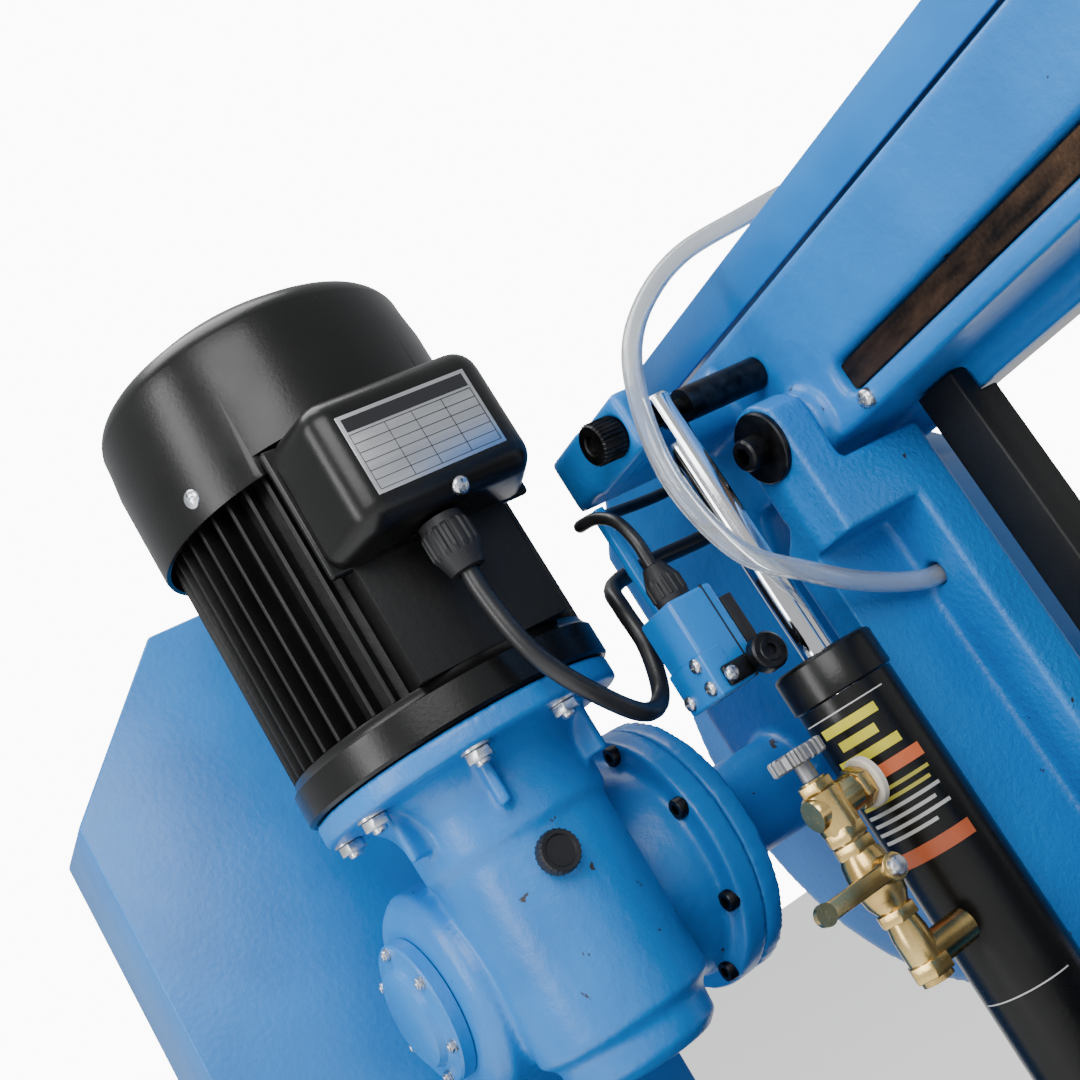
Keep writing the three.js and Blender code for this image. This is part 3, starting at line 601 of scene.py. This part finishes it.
# --- Hinge shaft, washer and socket screw ---
# A ground shaft through the bracket's arm into the bow. A large black washer and an M10
# socket screw hold it.
oxide_steel = metal("black_oxide_steel", (0.012, 0.012, 0.013), (0.045, 0.045, 0.048),
                    (0.3, 0.5), [(800, 0.0001, 3, even)], 120)
bare_steel = metal("machined_steel", (0.32, 0.33, 0.35), (0.5, 0.51, 0.53), (0.26, 0.42),
                   [(500, 0.00006, 2, even)])


def round_bar(name, axis, centre, radius, length, sides=48):
    turn_to = {"x": (0, math.pi / 2, 0), "y": (math.pi / 2, 0, 0), "z": (0, 0, 0)}[axis]
    bpy.ops.object.select_all(action="DESELECT")
    bpy.ops.mesh.primitive_cylinder_add(radius=radius, depth=length, vertices=sides,
                                        location=centre, rotation=turn_to)
    bpy.ops.object.transform_apply(location=True, rotation=True, scale=True)
    bpy.context.object.name = name
    return bpy.context.object


def spun(name, axis, centre, profile, steps=64):
    start = origin["xyz".index(axis)]
    placed = [(r * millimetre, start + a * millimetre) for r, a in profile]
    return turned(name, axis, at(*centre), placed, steps)


fit_out(spun("hinge_shaft_ground", "y", (0, 0, 0), [
    (0, 0.6), (8, 0.6), (9, 1.6), (9, 73), (8, 74), (0, 74)]), bare_steel, "base", "steel", "hinge_shaft")
fit_out(spun("hinge_washer_black", "y", (0, 0, 0), [
    (5.3, -0.3), (18, -0.3), (18, -2.6), (17.2, -3.3), (5.3, -3.3), (5.3, -0.3)], 96),
    oxide_steel, "base", "black_oxide", "hinge_washer")
hinge_screw = spun("hinge_socket_screw", "y", (0, 0, 0), [
    (0, -3.6), (8, -3.6), (8, -12.8), (7, -14), (0, -14)])
socket = round_bar("socket", "y", at(0, -13, 0), 0.0046, 0.010, 6)
cut_away(hinge_screw, socket)
fit_out(hinge_screw, oxide_steel, "base", "black_oxide", "hinge_screw")


# --- Bow casting and its steel bar ---
# One iron casting: the beam, the rear web, the wheel plates, the neck for the gearbox and
# the lug for the rod. A bar of mill steel with light rust lies in a groove of the beam.
cast_paint = paint("blue_cast_paint", blue_dark, blue_light,
                   [(150, 0.0005, 3, even), (900, 0.00012, 2, even)], (0.28, 0.46), 0.2, 0.4, True)
mill_rust = metal("rusty_mill_steel", (0.020, 0.018, 0.018), (0.13, 0.075, 0.045), (0.42, 0.75),
                  [(420, 0.0004, 4, even)], 130, (0.3, 1, 1))


def solid_copy(node, name):
    piece = bpy.data.objects.new(name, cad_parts[node].data.copy())
    bpy.context.scene.collection.objects.link(piece)
    pick(piece)
    bpy.ops.object.mode_set(mode="EDIT")
    bpy.ops.mesh.select_all(action="SELECT")
    bpy.ops.mesh.remove_doubles(threshold=0.00002)
    bpy.ops.mesh.dissolve_limited(angle_limit=math.radians(1.5))
    bpy.ops.object.mode_set(mode="OBJECT")
    return piece


def rounded_copy(node, name, material, body, slot, width=0.001, segments=3, angle=30):
    piece = solid_copy(node, name)
    soften_edges(piece, width, segments, angle)
    return fit_out(piece, material, body, slot, node)


bow_casting = cast_copy("bow_casting", "bow_cast_iron", cast_paint, "bow", "blue_paint", 0.0028, 3)
cut_away(bow_casting, block("axle_slot", at(499.5, 80, -152), at(538.5, 112, -128)))
rounded_copy("beam_bar", "beam_bar_rusty", mill_rust, "bow", "rusty_steel", 0.0007, 2)
for name, place in (("beam_screw_near", (44, 29.6, -10)), ("beam_screw_far", (300, 29.6, -10))):
    copy_to(cross_screw, name, at(*place), (0, -1, 0), zinc_steel, "bow", "steel", 1.1)


# --- Clevis pin and piston rod ---
# A black pin with a knurled head goes through the lug and the chromed rod. The rod's eye
# is a short slot, so the pin can move a little in it.
chrome_plate = metal("hard_chrome", (0.72, 0.73, 0.75), (0.86, 0.87, 0.88), (0.05, 0.12),
                     [(900, 0.00001, 2, even)])
def knurl(piece, axis, centre, smallest, depth, teeth):
    place = at(*centre)
    a, b = {"x": (1, 2), "y": (0, 2), "z": (0, 1)}[axis]
    for vertex in piece.data.vertices:
        across = Vector((vertex.co[a] - place[a], vertex.co[b] - place[b]))
        if across.length > smallest * millimetre and math.cos(teeth * math.atan2(across.y, across.x)) < 0.1:
            vertex.co[a] = place[a] + across.x * (1 - depth * millimetre / across.length)
            vertex.co[b] = place[b] + across.y * (1 - depth * millimetre / across.length)
    pick(piece)
    bpy.ops.object.shade_smooth_by_angle(angle=math.radians(22))
    return piece


pin_x, pin_z, rod_y = -10, 38, -32
pin = spun("clevis_pin_knurled", "y", (pin_x, 0, pin_z), [
    (0, -73), (4.2, -73), (4.6, -75.4), (5.4, -76), (9.4, -76), (10.5, -75), (10.5, -62.3), (8, -62.3),
    (8, -44), (4, -44), (4, -20), (8.5, -20), (8.5, 29), (7.6, 29.7), (0, 29.7)], 112)
fit_out(knurl(pin, "y", (pin_x, 0, pin_z), 9.8, 0.7, 28), oxide_steel, "bow", "black_oxide", "clevis_pin")

rod = spun("piston_rod_chromed", "z", (pin_x, rod_y, 0), [
    (0, -262), (19.5, -262), (19.5, -240), (8, -240), (8, 45.6), (7, 47), (0, 47)], 96)
rod_slot = block("slot", at(pin_x - 5.4, rod_y - 20, pin_z - 5.5), at(pin_x + 5.4, rod_y + 20, pin_z + 5.5))
rod_flat = block("flat", at(pin_x - 12, rod_y - 12, pin_z - 16), at(pin_x + 12, rod_y - 5.5, pin_z + 12))
cut_away(rod, rod_slot, rod_flat)
pick(rod)
bpy.ops.object.shade_smooth_by_angle(angle=math.radians(38))
fit_out(rod, chrome_plate, "rod", "chrome", "piston_rod")


# --- Blade covers ---
# The top cover is a folded blue sheet over the blade's upper run. A channel lies along
# the beam, its pale grey a painted highlight for the bright light on it, and a blue pan
# closes each wheel.
smooth_paint = paint("blue_smooth_paint", blue_dark, blue_light,
                     [(420, 0.00010, 2, even)], (0.26, 0.4), 0.2, 0.4)
# The pale grey is a painted highlight: it stands for the bright light falling on the channel.
grey_paint = paint("painted_highlight_grey", (0.42, 0.42, 0.41), (0.50, 0.50, 0.49),
                   [(700, 0.00008, 2, even)], (0.38, 0.52), 0.1)
rounded_copy("top_cover", "top_cover_sheet", smooth_paint, "bow", "blue_paint", 0.0008, 2)
# The channel along the beam takes the painted highlight grey.
rounded_copy("blade_channel", "blade_channel_painted_highlight", grey_paint, "bow", "grey_paint", 0.0006, 2)
for node, name in (("guard_drive", "drive_wheel_guard"), ("guard_idler", "idler_wheel_guard")):
    rounded_copy(node, name, smooth_paint, "bow", "blue_paint", 0.0012, 2, 50)
    low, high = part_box(node)
    middle = (low + high) / 2
    for i, step in enumerate((0.6, 2.2, 3.7, 5.3)):
        place = Vector((middle.x + 0.155 * math.cos(step), high.y, middle.z + 0.155 * math.sin(step)))
        copy_to(cross_screw, name + "_screw_" + str(i), place, (0, 1, 0), zinc_steel, "bow", "steel", 1.2)


# --- Worm gearbox ---
# An iron casting in which the worm's housing stands across the worm wheel's. A wide flange
# carries the motor, a round one meets the bow, and socket screws and a cap close it.
black_plastic = paint("black_moulded_plastic", (0.008, 0.008, 0.009), (0.014, 0.014, 0.016),
                      [(1800, 0.00010, 2, even)], (0.42, 0.58), 0.0, 0.35)
motor_x, motor_y, wheel_x, wheel_z = -128, -156, -185, -140
worm_case = spun("worm_case", "z", (motor_x, motor_y, 0), [
    (0, -213.5), (33, -213.5), (39, -208), (39.5, -198), (40, -195), (46.5, -190), (47, -96), (50, -91),
    (50.5, -78), (51, -70), (54, -62), (62, -54), (81.6, -52), (81.6, -40), (0, -40)], 96)
wheel_case = spun("wheel_case", "y", (wheel_x, 0, wheel_z), [
    (0, -216.6), (41, -216.6), (50, -214), (55.5, -208), (56, -104), (59, -94), (62, -84), (63, -76),
    (74, -74), (74, -60.5), (0, -60.5)], 96)
ribs = []
for turn_by in (-1.25, -0.35, 0.75):
    rib = block("rib", (0.046, -0.003, -0.006), (0.063, 0.003, 0.022))
    rib.data.transform(Matrix.Translation(at(motor_x, motor_y, -74)) @ Matrix.Rotation(turn_by, 4, "Z"))
    ribs.append(rib)
housing = as_cast(joined([worm_case, wheel_case] + ribs, "gearbox_cast"), 0.0019, 3)
fit_out(housing, cast_paint, "bow", "blue_paint", "gearbox_housing")
for i in range(8):
    angle = math.tau * (i + 0.35) / 8
    copy_to(socket_screw, "flange_socket_screw_" + str(i),
            at(wheel_x + 67.5 * math.cos(angle), -73.6, wheel_z + 67.5 * math.sin(angle)), (0, -1, 0),
            oxide_steel, "bow", "black_oxide", 0.85)
for i, angle in enumerate((-1.92, -1.22, -0.35, 0.35, 1.9, 3.0)):
    copy_to(hex_bolt, "motor_flange_bolt_" + str(i),
            at(motor_x + 71 * math.cos(angle), motor_y + 71 * math.sin(angle), -52.2), (0, 0, -1),
            zinc_steel, "bow", "steel", 0.95)
cap = spun("bearing_cap", "y", (wheel_x, 0, wheel_z), [
    (0, -231), (22, -231), (25, -230), (27, -226.5), (30, -225.2), (36, -225), (37, -223.8), (37, -217.3),
    (0, -217.3)], 96)
fit_out(cap, cast_paint, "bow", "blue_paint", "gearbox_cap")
for i in range(6):
    angle = math.tau * i / 6 + 0.4
    copy_to(hex_bolt, "bearing_cap_bolt_" + str(i),
            at(wheel_x + 32.6 * math.cos(angle), -224.8, wheel_z + 32.6 * math.sin(angle)), (0, -1, 0),
            zinc_steel, "bow", "steel", 0.42)
plug_y, plug_z = motor_y - 10, -110
plug = spun("oil_plug_ribbed", "x", (0, plug_y, plug_z), [
    (0, -80.5), (8, -80.5), (8, -78), (10.5, -77.4), (10.5, -71.2), (9.4, -70), (7.6, -70.2),
    (7.0, -71.4), (0, -71.4)], 96)
fit_out(knurl(plug, "x", (0, plug_y, plug_z), 9.9, 0.5, 24), black_plastic, "bow", "black_oxide", "oil_plug")


# --- Cable glands ---
# Black nylon glands with ribbed nuts, one under the terminal box and one over the switch.
gland = spun("motor_gland_ribbed", "z", (gland_x, gland_y, 0), [
    (0, 40.7), (10.4, 40.7), (10.8, 37), (11.6, 36), (12, 35), (12, 25), (10.8, 22.4), (8.5, 14.4), (5.4, 14),
    (5.2, 24), (0, 24)], 96)
knurl(gland, "z", (gland_x, gland_y, 0), 11.2, 0.9, 16)
fit_out(gland, black_plastic, "bow", "black_paint", "motor_gland")
gland = spun("switch_gland_ribbed", "z", (-26, -73, 0), [
    (0, -41.7), (8.4, -41.7), (8.6, -38.6), (9, -38), (9, -31), (8, -28.6), (5.4, -22.2),
    (3.6, -22), (0, -26)], 96)
knurl(gland, "z", (-26, -73, 0), 8.7, 0.7, 14)
fit_out(gland, black_plastic, "bow", "black_paint", "switch_gland")


# --- Limit switch ---
# A blue die-cast box on a strap from the bow's lug. Screws hold its cover over a black
# gasket, and a black arm with a roller works the switch.
switch_low, switch_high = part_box("switch_box")
rounded_copy("switch_strap", "switch_strap_steel", smooth_paint, "bow", "blue_paint", 0.0008, 2)
rounded_copy("switch_box", "switch_box_cast", smooth_paint, "bow", "blue_paint", 0.0022, 3)
grow = Vector((0.0002, 0, 0.0002))
gasket = block("switch_gasket", Vector((switch_low.x, switch_high.y - 0.0062, switch_low.z)) - grow,
               Vector((switch_high.x, switch_high.y - 0.0050, switch_high.z)) + grow)
soften_edges(gasket, 0.0004, 2)
fit_out(gasket, black_plastic, "bow", "black_paint")
contact_body = block("switch_contact_body",
                     (switch_low.x + 0.010, switch_high.y + 0.0002, switch_low.z + 0.003),
                     (switch_high.x - 0.001, switch_high.y + 0.0072, switch_high.z - 0.009))
soften_edges(contact_body, 0.0008, 2)
fit_out(contact_body, black_plastic, "bow", "black_paint")
low_cover = block("switch_low_cover", (switch_low.x - 0.0004, switch_low.y - 0.0010, switch_low.z - 0.0006),
                  (switch_high.x + 0.0004, switch_low.y + 0.0120, switch_low.z + 0.021))
soften_edges(low_cover, 0.0012, 3)
fit_out(low_cover, smooth_paint, "bow", "blue_paint")
for i, (x, z) in enumerate(((switch_low.x + 0.005, switch_low.z + 0.005),
                            (switch_high.x - 0.005, switch_low.z + 0.005),
                            (switch_high.x - 0.006, switch_low.z + 0.017))):
    copy_to(cross_screw, "switch_cover_screw_" + str(i), (x, switch_low.y - 0.001, z), (0, -1, 0), zinc_steel,
            "bow", "steel", 0.85)
arm_low, arm_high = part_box("switch_lever")
roller_z = (arm_low.z + arm_high.z) / 2
arm = block("arm", (arm_low.x, arm_low.y, roller_z - 0.005),
            (arm_low.x + 0.0035, arm_high.y, roller_z + 0.005))
soften_edges(arm, 0.0015, 3)
roller = spun("roller", "x", (0, -60, -84), [
    (0, -8.5), (8, -8.5), (9, -7.6), (9, -1.6), (8, -0.8), (5.4, -0.8), (5, -0.2), (2.6, 0),
    (2.4, -1.6), (0, -1.6)], 64)
switch_arm = joined([arm, roller], "switch_arm_and_roller")
fit_out(switch_arm, oxide_steel, "switch_arm", "black_oxide", "switch_lever")
copy_to(cross_screw, "switch_arm_screw", at(-8.2, -79, -84), (1, 0, 0), zinc_steel,
        "switch_arm", "steel", 0.8)


# --- Feed cylinder ---
# A black oil cylinder on a pinned foot damps the fall of the bow. Its label is left generic:
# plain yellow, orange and grey bands on a black film.
cylinder_centre = (pin_x, rod_y, 0)
barrel = spun("cylinder_barrel_painted", "z", cylinder_centre, [
    (0, -372), (22.5, -372), (24, -370.5), (24, -116), (20, -116), (20, -352), (0, -352)], 128)
eye = block("eye", at(pin_x - 8, rod_y - 12, -400), at(pin_x + 8, rod_y + 12, -371))
knuckle = round_bar("knuckle", "y", at(pin_x, rod_y, -400), 0.009, 0.024)
eye = joined([eye, knuckle], "eye")
eye_hole = round_bar("eye_hole", "y", at(pin_x, rod_y, -400), 0.0043, 0.04)
apply_modifier(eye, "REMESH", mode="VOXEL", voxel_size=0.0009, use_smooth_shade=True)
cut_away(eye, eye_hole)
barrel = joined([barrel, eye], "cylinder_barrel_painted")
fit_out(barrel, black_gloss, "cylinder", "black_paint", "cylinder_barrel")
cap = spun("cylinder_cap_turned", "z", cylinder_centre, [
    (8.3, -115.7), (24.6, -115.7), (25.2, -115), (25.2, -98.4), (24.4, -97), (22.4, -96), (14, -96),
    (13.2, -98), (8.3, -98), (8.3, -115.7)], 128)
fit_out(cap, black_gloss, "cylinder", "black_paint", "cylinder_cap")


def label_band(name, low, high, sweep, facing, colour):
    radius = 0.02405
    place = at(*cylinder_centre)
    bpy.ops.object.select_all(action="DESELECT")
    bpy.ops.mesh.primitive_plane_add(size=1, location=(0, 0, 0), rotation=(math.pi / 2, 0, 0))
    bpy.ops.object.transform_apply(location=True, rotation=True, scale=True)
    strip = bpy.context.object
    strip.name = name
    strip.data.transform(Matrix.Translation((place.x + radius, place.y, origin.z + (low + high) / 2000))
                         @ Matrix.Diagonal((0.0003, 1, (high - low) / 1000, 1)))
    bpy.ops.object.mode_set(mode="EDIT")
    bpy.ops.mesh.select_all(action="SELECT")
    bpy.ops.mesh.spin(steps=24, angle=math.radians(sweep), center=place, axis=(0, 0, 1))
    finish_ring(strip)
    middle = sum((vertex.co for vertex in strip.data.vertices), Vector()) / len(strip.data.vertices) - place
    turn_by = math.radians(facing) - math.atan2(middle.y, middle.x)
    to_place, from_place = Matrix.Translation(place), Matrix.Translation(-place)
    strip.data.transform(to_place @ Matrix.Rotation(turn_by, 4, "Z") @ from_place)
    ink, shader = plain_finish(name + "_ink", colour, 0.38)
    add_tone(ink, shader, 90, tuple(c * 0.85 for c in colour), colour)
    add_grain(ink, shader, [(900, 0.00003, 2, even)])
    return fit_out(strip, ink, "cylinder", "black_paint")


for name, low, high, sweep, facing, colour in (
        ("label_title_a", -131, -126.5, 70, -52, (0.62, 0.55, 0.03)),
        ("label_title_b", -139, -134.5, 46, -52, (0.62, 0.55, 0.03)),
        ("label_title_c", -147, -142.5, 78, -52, (0.62, 0.55, 0.03)),
        ("label_heading", -157, -151, 104, -52, (0.62, 0.13, 0.04)),
        ("label_rule_a", -162.4, -160.8, 96, -52, (0.42, 0.38, 0.05)),
        ("label_rule_b", -166.6, -165.0, 90, -54, (0.42, 0.38, 0.05)),
        ("label_rule_c", -170.8, -169.2, 96, -52, (0.42, 0.42, 0.40)),
        ("label_rule_d", -175.0, -173.4, 82, -57, (0.42, 0.42, 0.40)),
        ("label_rule_e", -179.2, -177.6, 96, -52, (0.42, 0.42, 0.40)),
        ("label_rule_f", -183.4, -181.8, 70, -62, (0.42, 0.42, 0.40)),
        ("label_footing", -196, -189, 104, -52, (0.42, 0.09, 0.03)),
        ("label_edge_top", -122.6, -122, 110, -52, (0.5, 0.5, 0.48)),
        ("label_edge_low", -262, -261.4, 110, -52, (0.5, 0.5, 0.48))):
    label_band(name, low, high, sweep, facing, colour)
rounded_copy("cylinder_foot", "cylinder_foot_plate", smooth_paint, "base", "blue_paint", 0.0008, 2, 50)


# --- Needle valve and ball valve ---
# Turned brass valves with hexagon nuts on the cylinder's side. The needle has a grey
# knurled knob, and the ball valve a brass lever under a domed nut.
grey_knob = metal("die_cast_knob", (0.25, 0.25, 0.26), (0.38, 0.38, 0.39), (0.38, 0.5),
                  [(500, 0.0001, 2, even)])
yellow_brass = metal("turned_brass", (0.50, 0.33, 0.11), (0.74, 0.54, 0.22), (0.16, 0.34),
                     [(700, 0.00005, 2, even)])
valve_x, valve_y, elbow_z, hub_z = 6, -84, -154, -187
side_y = rod_y - 24


def hexagon(name, axis, centre, radius, length):
    nut = round_bar(name, axis, at(*centre), radius * millimetre, length * millimetre, 6)
    soften_edges(nut, 0.0005, 2)
    return nut


needle_body = [
    spun("bonnet", "z", (valve_x, valve_y, 0), [
        (0, -170), (8.6, -170), (8.6, -166), (9.2, -163), (9.2, -147), (7, -145.5),
        (6.2, -143), (6.2, -141), (0, -141)]),
    hexagon("nut_top", "z", (valve_x, valve_y, -144.6), 8.6, 5.4),
    hexagon("nut_low", "z", (valve_x, valve_y, -166.8), 10, 6),
    spun("elbow", "y", (valve_x, 0, elbow_z), [
        (0, valve_y - 9.6), (7, valve_y - 9.6), (8, valve_y - 8), (8, -64), (8, side_y - 2),
        (0, side_y - 2)]),
    hexagon("nut_side", "y", (valve_x, -66, elbow_z), 9.8, 6)]
fit_out(joined(needle_body, "needle_valve_turned"), yellow_brass, "cylinder", "brass", "needle_valve")
nylon, nylon_shader = plain_finish("natural_nylon", (0.62, 0.58, 0.50), 0.45)
add_tone(nylon, nylon_shader, 50, (0.55, 0.50, 0.42), (0.68, 0.64, 0.57))
add_grain(nylon, nylon_shader, [(700, 0.00008, 2, even)])
nylon_washer = spun("nylon_washer", "y", (valve_x, 0, elbow_z), [
    (8.1, -62.4), (11, -62.4), (11.6, -61.6), (11.6, -59), (8.1, -59), (8.1, -62.4)])
fit_out(nylon_washer, nylon, "cylinder", "grey_paint")

knob = spun("needle_knob_knurled", "z", (valve_x, valve_y, 0), [
    (0, -140.6), (4, -140.6), (4, -133), (12.2, -133), (13, -132.2), (13, -126.8), (12.2, -126), (5, -126),
    (4.2, -127.4), (0, -127.4)], 120)
fit_out(knurl(knob, "z", (valve_x, valve_y, 0), 11.6, 1.1, 20), grey_knob, "needle", "steel", "needle_knob")

ball_body = [
    spun("body", "z", (valve_x, valve_y, 0), [
        (0, -236), (7.4, -236), (7.4, -228), (8, -226), (8, -214), (7, -208), (7, -203), (9.6, -198),
        (10.6, -192), (10.6, -184), (9.6, -178), (7.6, -174), (7.6, -170.4), (0, -170.4)]),
    hexagon("nut_low", "z", (valve_x, valve_y, -230), 10, 7),
    hexagon("nut_mid", "z", (valve_x, valve_y, -205.4), 9.6, 5.4),
    hexagon("nut_top", "z", (valve_x, valve_y, -173.4), 9.8, 5.4),
    spun("stem", "x", (0, valve_y, hub_z), [
        (0, valve_x), (6, valve_x), (6, valve_x + 12), (5, valve_x + 15), (0, valve_x + 15)]),
    spun("outlet", "y", (valve_x, 0, -225), [
        (0, valve_y), (7.6, valve_y), (7.6, side_y - 2), (0, side_y - 2)])]
fit_out(joined(ball_body, "ball_valve_turned"), yellow_brass, "cylinder", "brass", "ball_valve")

lever_x = valve_x + 15.3
lever = block("strip", at(lever_x, valve_y - 42, hub_z - 4), at(lever_x + 2.4, valve_y, hub_z + 4))
soften_edges(lever, 0.0011, 3)
hub = spun("hub", "x", (0, valve_y, hub_z), [
    (0, lever_x), (6, lever_x), (6, lever_x + 2.6), (5.4, lever_x + 3), (0, lever_x + 3)])
tip = round_bar("tip", "x", at(lever_x + 1.2, valve_y - 40, hub_z), 0.0048, 0.0030)
fit_out(joined([lever, hub, tip], "ball_lever_strip"), yellow_brass, "lever", "brass", "ball_lever")
dome = spun("lever_dome_nut", "x", (0, valve_y, hub_z), [
    (0, lever_x + 2.6), (4.4, lever_x + 2.6), (4.6, lever_x + 4.4), (3.8, lever_x + 6),
    (2.2, lever_x + 6.8), (0, lever_x + 7)])
fit_out(dome, zinc_steel, "lever", "steel")
rounded_copy("coolant_tap", "coolant_tap_brass", yellow_brass, "bow", "brass", 0.0006, 2, 50)


# --- Blade, wheels and their shafts ---
# The blade is a ground steel band. The wheels are turned cast iron on steel shafts, inside
# the guards, and the rotor with its fan turns inside the motor.
ground_iron = metal("machined_cast_iron", (0.20, 0.21, 0.22), (0.34, 0.35, 0.37), (0.3, 0.5),
                    [(300, 0.0001, 3, (1, 14, 1))], 60, (1, 6, 1))
def finish_node(node, material):
    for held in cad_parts[node].material_slots:
        held.material = material


finish_node("blade", bare_steel)
rounded_copy("drive_wheel", "drive_wheel_turned", ground_iron, "drive", "cast_iron", 0.001, 2, 40)
rounded_copy("idler_wheel", "idler_wheel_turned", ground_iron, "idler", "cast_iron", 0.001, 2, 40)
rounded_copy("idler_axle", "idler_axle_block", bare_steel, "idler_block", "steel", 0.0006, 2, 40)
rounded_copy("output_shaft", "gearbox_output_shaft", bare_steel, "drive", "steel", 0.0006, 2, 40)
rounded_copy("motor_rotor", "motor_rotor_and_fan", bare_steel, "rotor", "steel", 0.0005, 2, 40)
knob = spun("tension_knob_ribbed", "x", (0, 70, -140), [
    (0, 625), (7, 625), (7, 708), (24, 708), (26, 711), (26, 722), (23, 725), (9, 726), (0, 726)], 96)
knurl(knob, "x", (0, 70, -140), 23.5, 1.4, 12)
fit_out(knob, black_plastic, "tension_screw", "black_paint", "tension_knob")
for node, name, body in (("guide_arm_fixed", "guide_arm_near", "bow"),
                         ("guide_arm_sliding", "guide_arm_far", "guide_slider")):
    rounded_copy(node, name, black_satin, body, "black_paint", 0.0014, 3)


# --- Stand, tray and base ---
# Two sheet-steel pedestals with a shelf between them carry a black chip tray. The cast
# base stands in the tray and lifts the machined bed.
for node, name in (("stand_rear", "stand_pedestal_rear"), ("stand_front", "stand_pedestal_front"),
                   ("stand_shelf", "stand_shelf_sheet")):
    rounded_copy(node, name, smooth_paint, "base", "blue_paint", 0.0012, 2, 50)
rounded_copy("chip_tray", "chip_tray_sheet", black_satin, "base", "black_paint", 0.0012, 2)
rounded_copy("base_casting", "base_cast_iron", cast_paint, "base", "blue_paint", 0.004, 4)
rounded_copy("bed", "bed_ground", ground_iron, "base", "cast_iron", 0.0012, 2)


# --- Vise ---
# Two machined iron jaws on the bed, closed by a screw that runs through a nut block to a
# spoked handwheel.
rounded_copy("fixed_jaw", "fixed_jaw_iron", ground_iron, "base", "cast_iron", 0.0018, 3)
rounded_copy("vise_jaw", "vise_jaw_iron", ground_iron, "jaw", "cast_iron", 0.0014, 3, 50)
rounded_copy("vise_nut_block", "vise_nut_block_cast", cast_paint, "base", "blue_paint", 0.0018, 3, 50)
rounded_copy("vise_screw", "vise_screw_and_wheel", bare_steel, "handwheel", "steel", 0.0007, 2, 50)


# --- Controls ---
# A black sheet box on the tray's rim with a green start button and a red mushroom stop
# button, each in a zinc collar.
rounded_copy("control_box", "control_box_sheet", black_satin, "base", "black_paint", 0.0016, 3, 50)
moulded = [(900, 0.00004, 2, even)]
green_plastic = paint("green_button_plastic", (0.010, 0.18, 0.06), (0.014, 0.24, 0.085),
                      moulded, (0.25, 0.35), 0.2)
red_plastic = paint("red_button_plastic", (0.38, 0.010, 0.008), (0.48, 0.016, 0.012),
                    moulded, (0.25, 0.35), 0.2)
start_low, start_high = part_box("start_button")
stop_low, stop_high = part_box("stop_button")


def above_axis(value):
    return (value - origin.z) / millimetre


start_x = ((start_low.x + start_high.x) / 2 - origin.x) / millimetre
button_y = ((start_low.y + start_high.y) / 2 - origin.y) / millimetre
low, high = above_axis(start_low.z), above_axis(start_high.z)
fit_out(spun("start_button_green", "z", (start_x, button_y, 0), [
    (0, low), (12, low), (12, high - 1.2), (11, high - 0.2), (9, high), (0, high - 0.4)]),
    green_plastic, "start", "green_plastic", "start_button")
stop_x = ((stop_low.x + stop_high.x) / 2 - origin.x) / millimetre
low, high = above_axis(stop_low.z), above_axis(stop_high.z)
fit_out(spun("stop_button_red", "z", (stop_x, button_y, 0), [
    (0, low), (12, low), (12, low + 12), (16, low + 12.6), (17, low + 14), (17, low + 18), (15, high - 1.4),
    (9, high), (0, high)]), red_plastic, "stop", "red_plastic", "stop_button")
panel_z = above_axis(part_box("control_box")[1].z)
for name, x in (("start_collar", start_x), ("stop_collar", stop_x)):
    collar = spun(name, "z", (x, button_y, 0), [
        (12.6, panel_z - 0.4), (15, panel_z - 0.4), (15, panel_z + 1.2), (14.4, panel_z + 2),
        (12.6, panel_z + 2), (12.6, panel_z - 0.4)])
    fit_out(collar, zinc_steel, "base", "steel")


# --- Rear cabinet and coolant tank ---
# A folded blue sheet cabinet with one corner cut off, and a door with a quarter-turn lock.
# The black coolant tank stands on the shelf.
hammer_sheet = paint("blue_hammer_sheet", blue_dark, blue_light,
                     [(260, 0.00022, 2, even)], (0.3, 0.46), 0.2, 0.4)
rounded_copy("rear_cabinet", "rear_cabinet_sheet", hammer_sheet, "base", "blue_paint", 0.0014, 2)
rounded_copy("cabinet_door", "cabinet_door_sheet", hammer_sheet, "door", "blue_paint", 0.0008, 2)
door_low, door_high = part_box("cabinet_door")
lock_x, lock_y, lock_z = door_low.x, door_low.y + 0.022, (door_low.z + door_high.z) / 2 - 0.04
lock = turned("door_lock", "x", (lock_x, lock_y, lock_z), [
    (0, lock_x - 0.005), (0.007, lock_x - 0.005), (0.0085, lock_x - 0.0035), (0.011, lock_x - 0.002),
    (0.011, lock_x + 0.0005), (0, lock_x + 0.0005)], 48)
keyway = block("key", (lock_x - 0.01, lock_y - 0.0012, lock_z - 0.005),
               (lock_x - 0.0025, lock_y + 0.0012, lock_z + 0.005))
cut_away(lock, keyway)
fit_out(lock, zinc_steel, "door", "steel")
rounded_copy("coolant_tank", "coolant_tank_moulded", black_plastic, "base", "black_paint", 0.002, 3)

# --- Close ---
# The three screw models go, since only their copies belong to the saw.
for model in (cross_screw, socket_screw, hex_bolt):
    bpy.data.objects.remove(model)
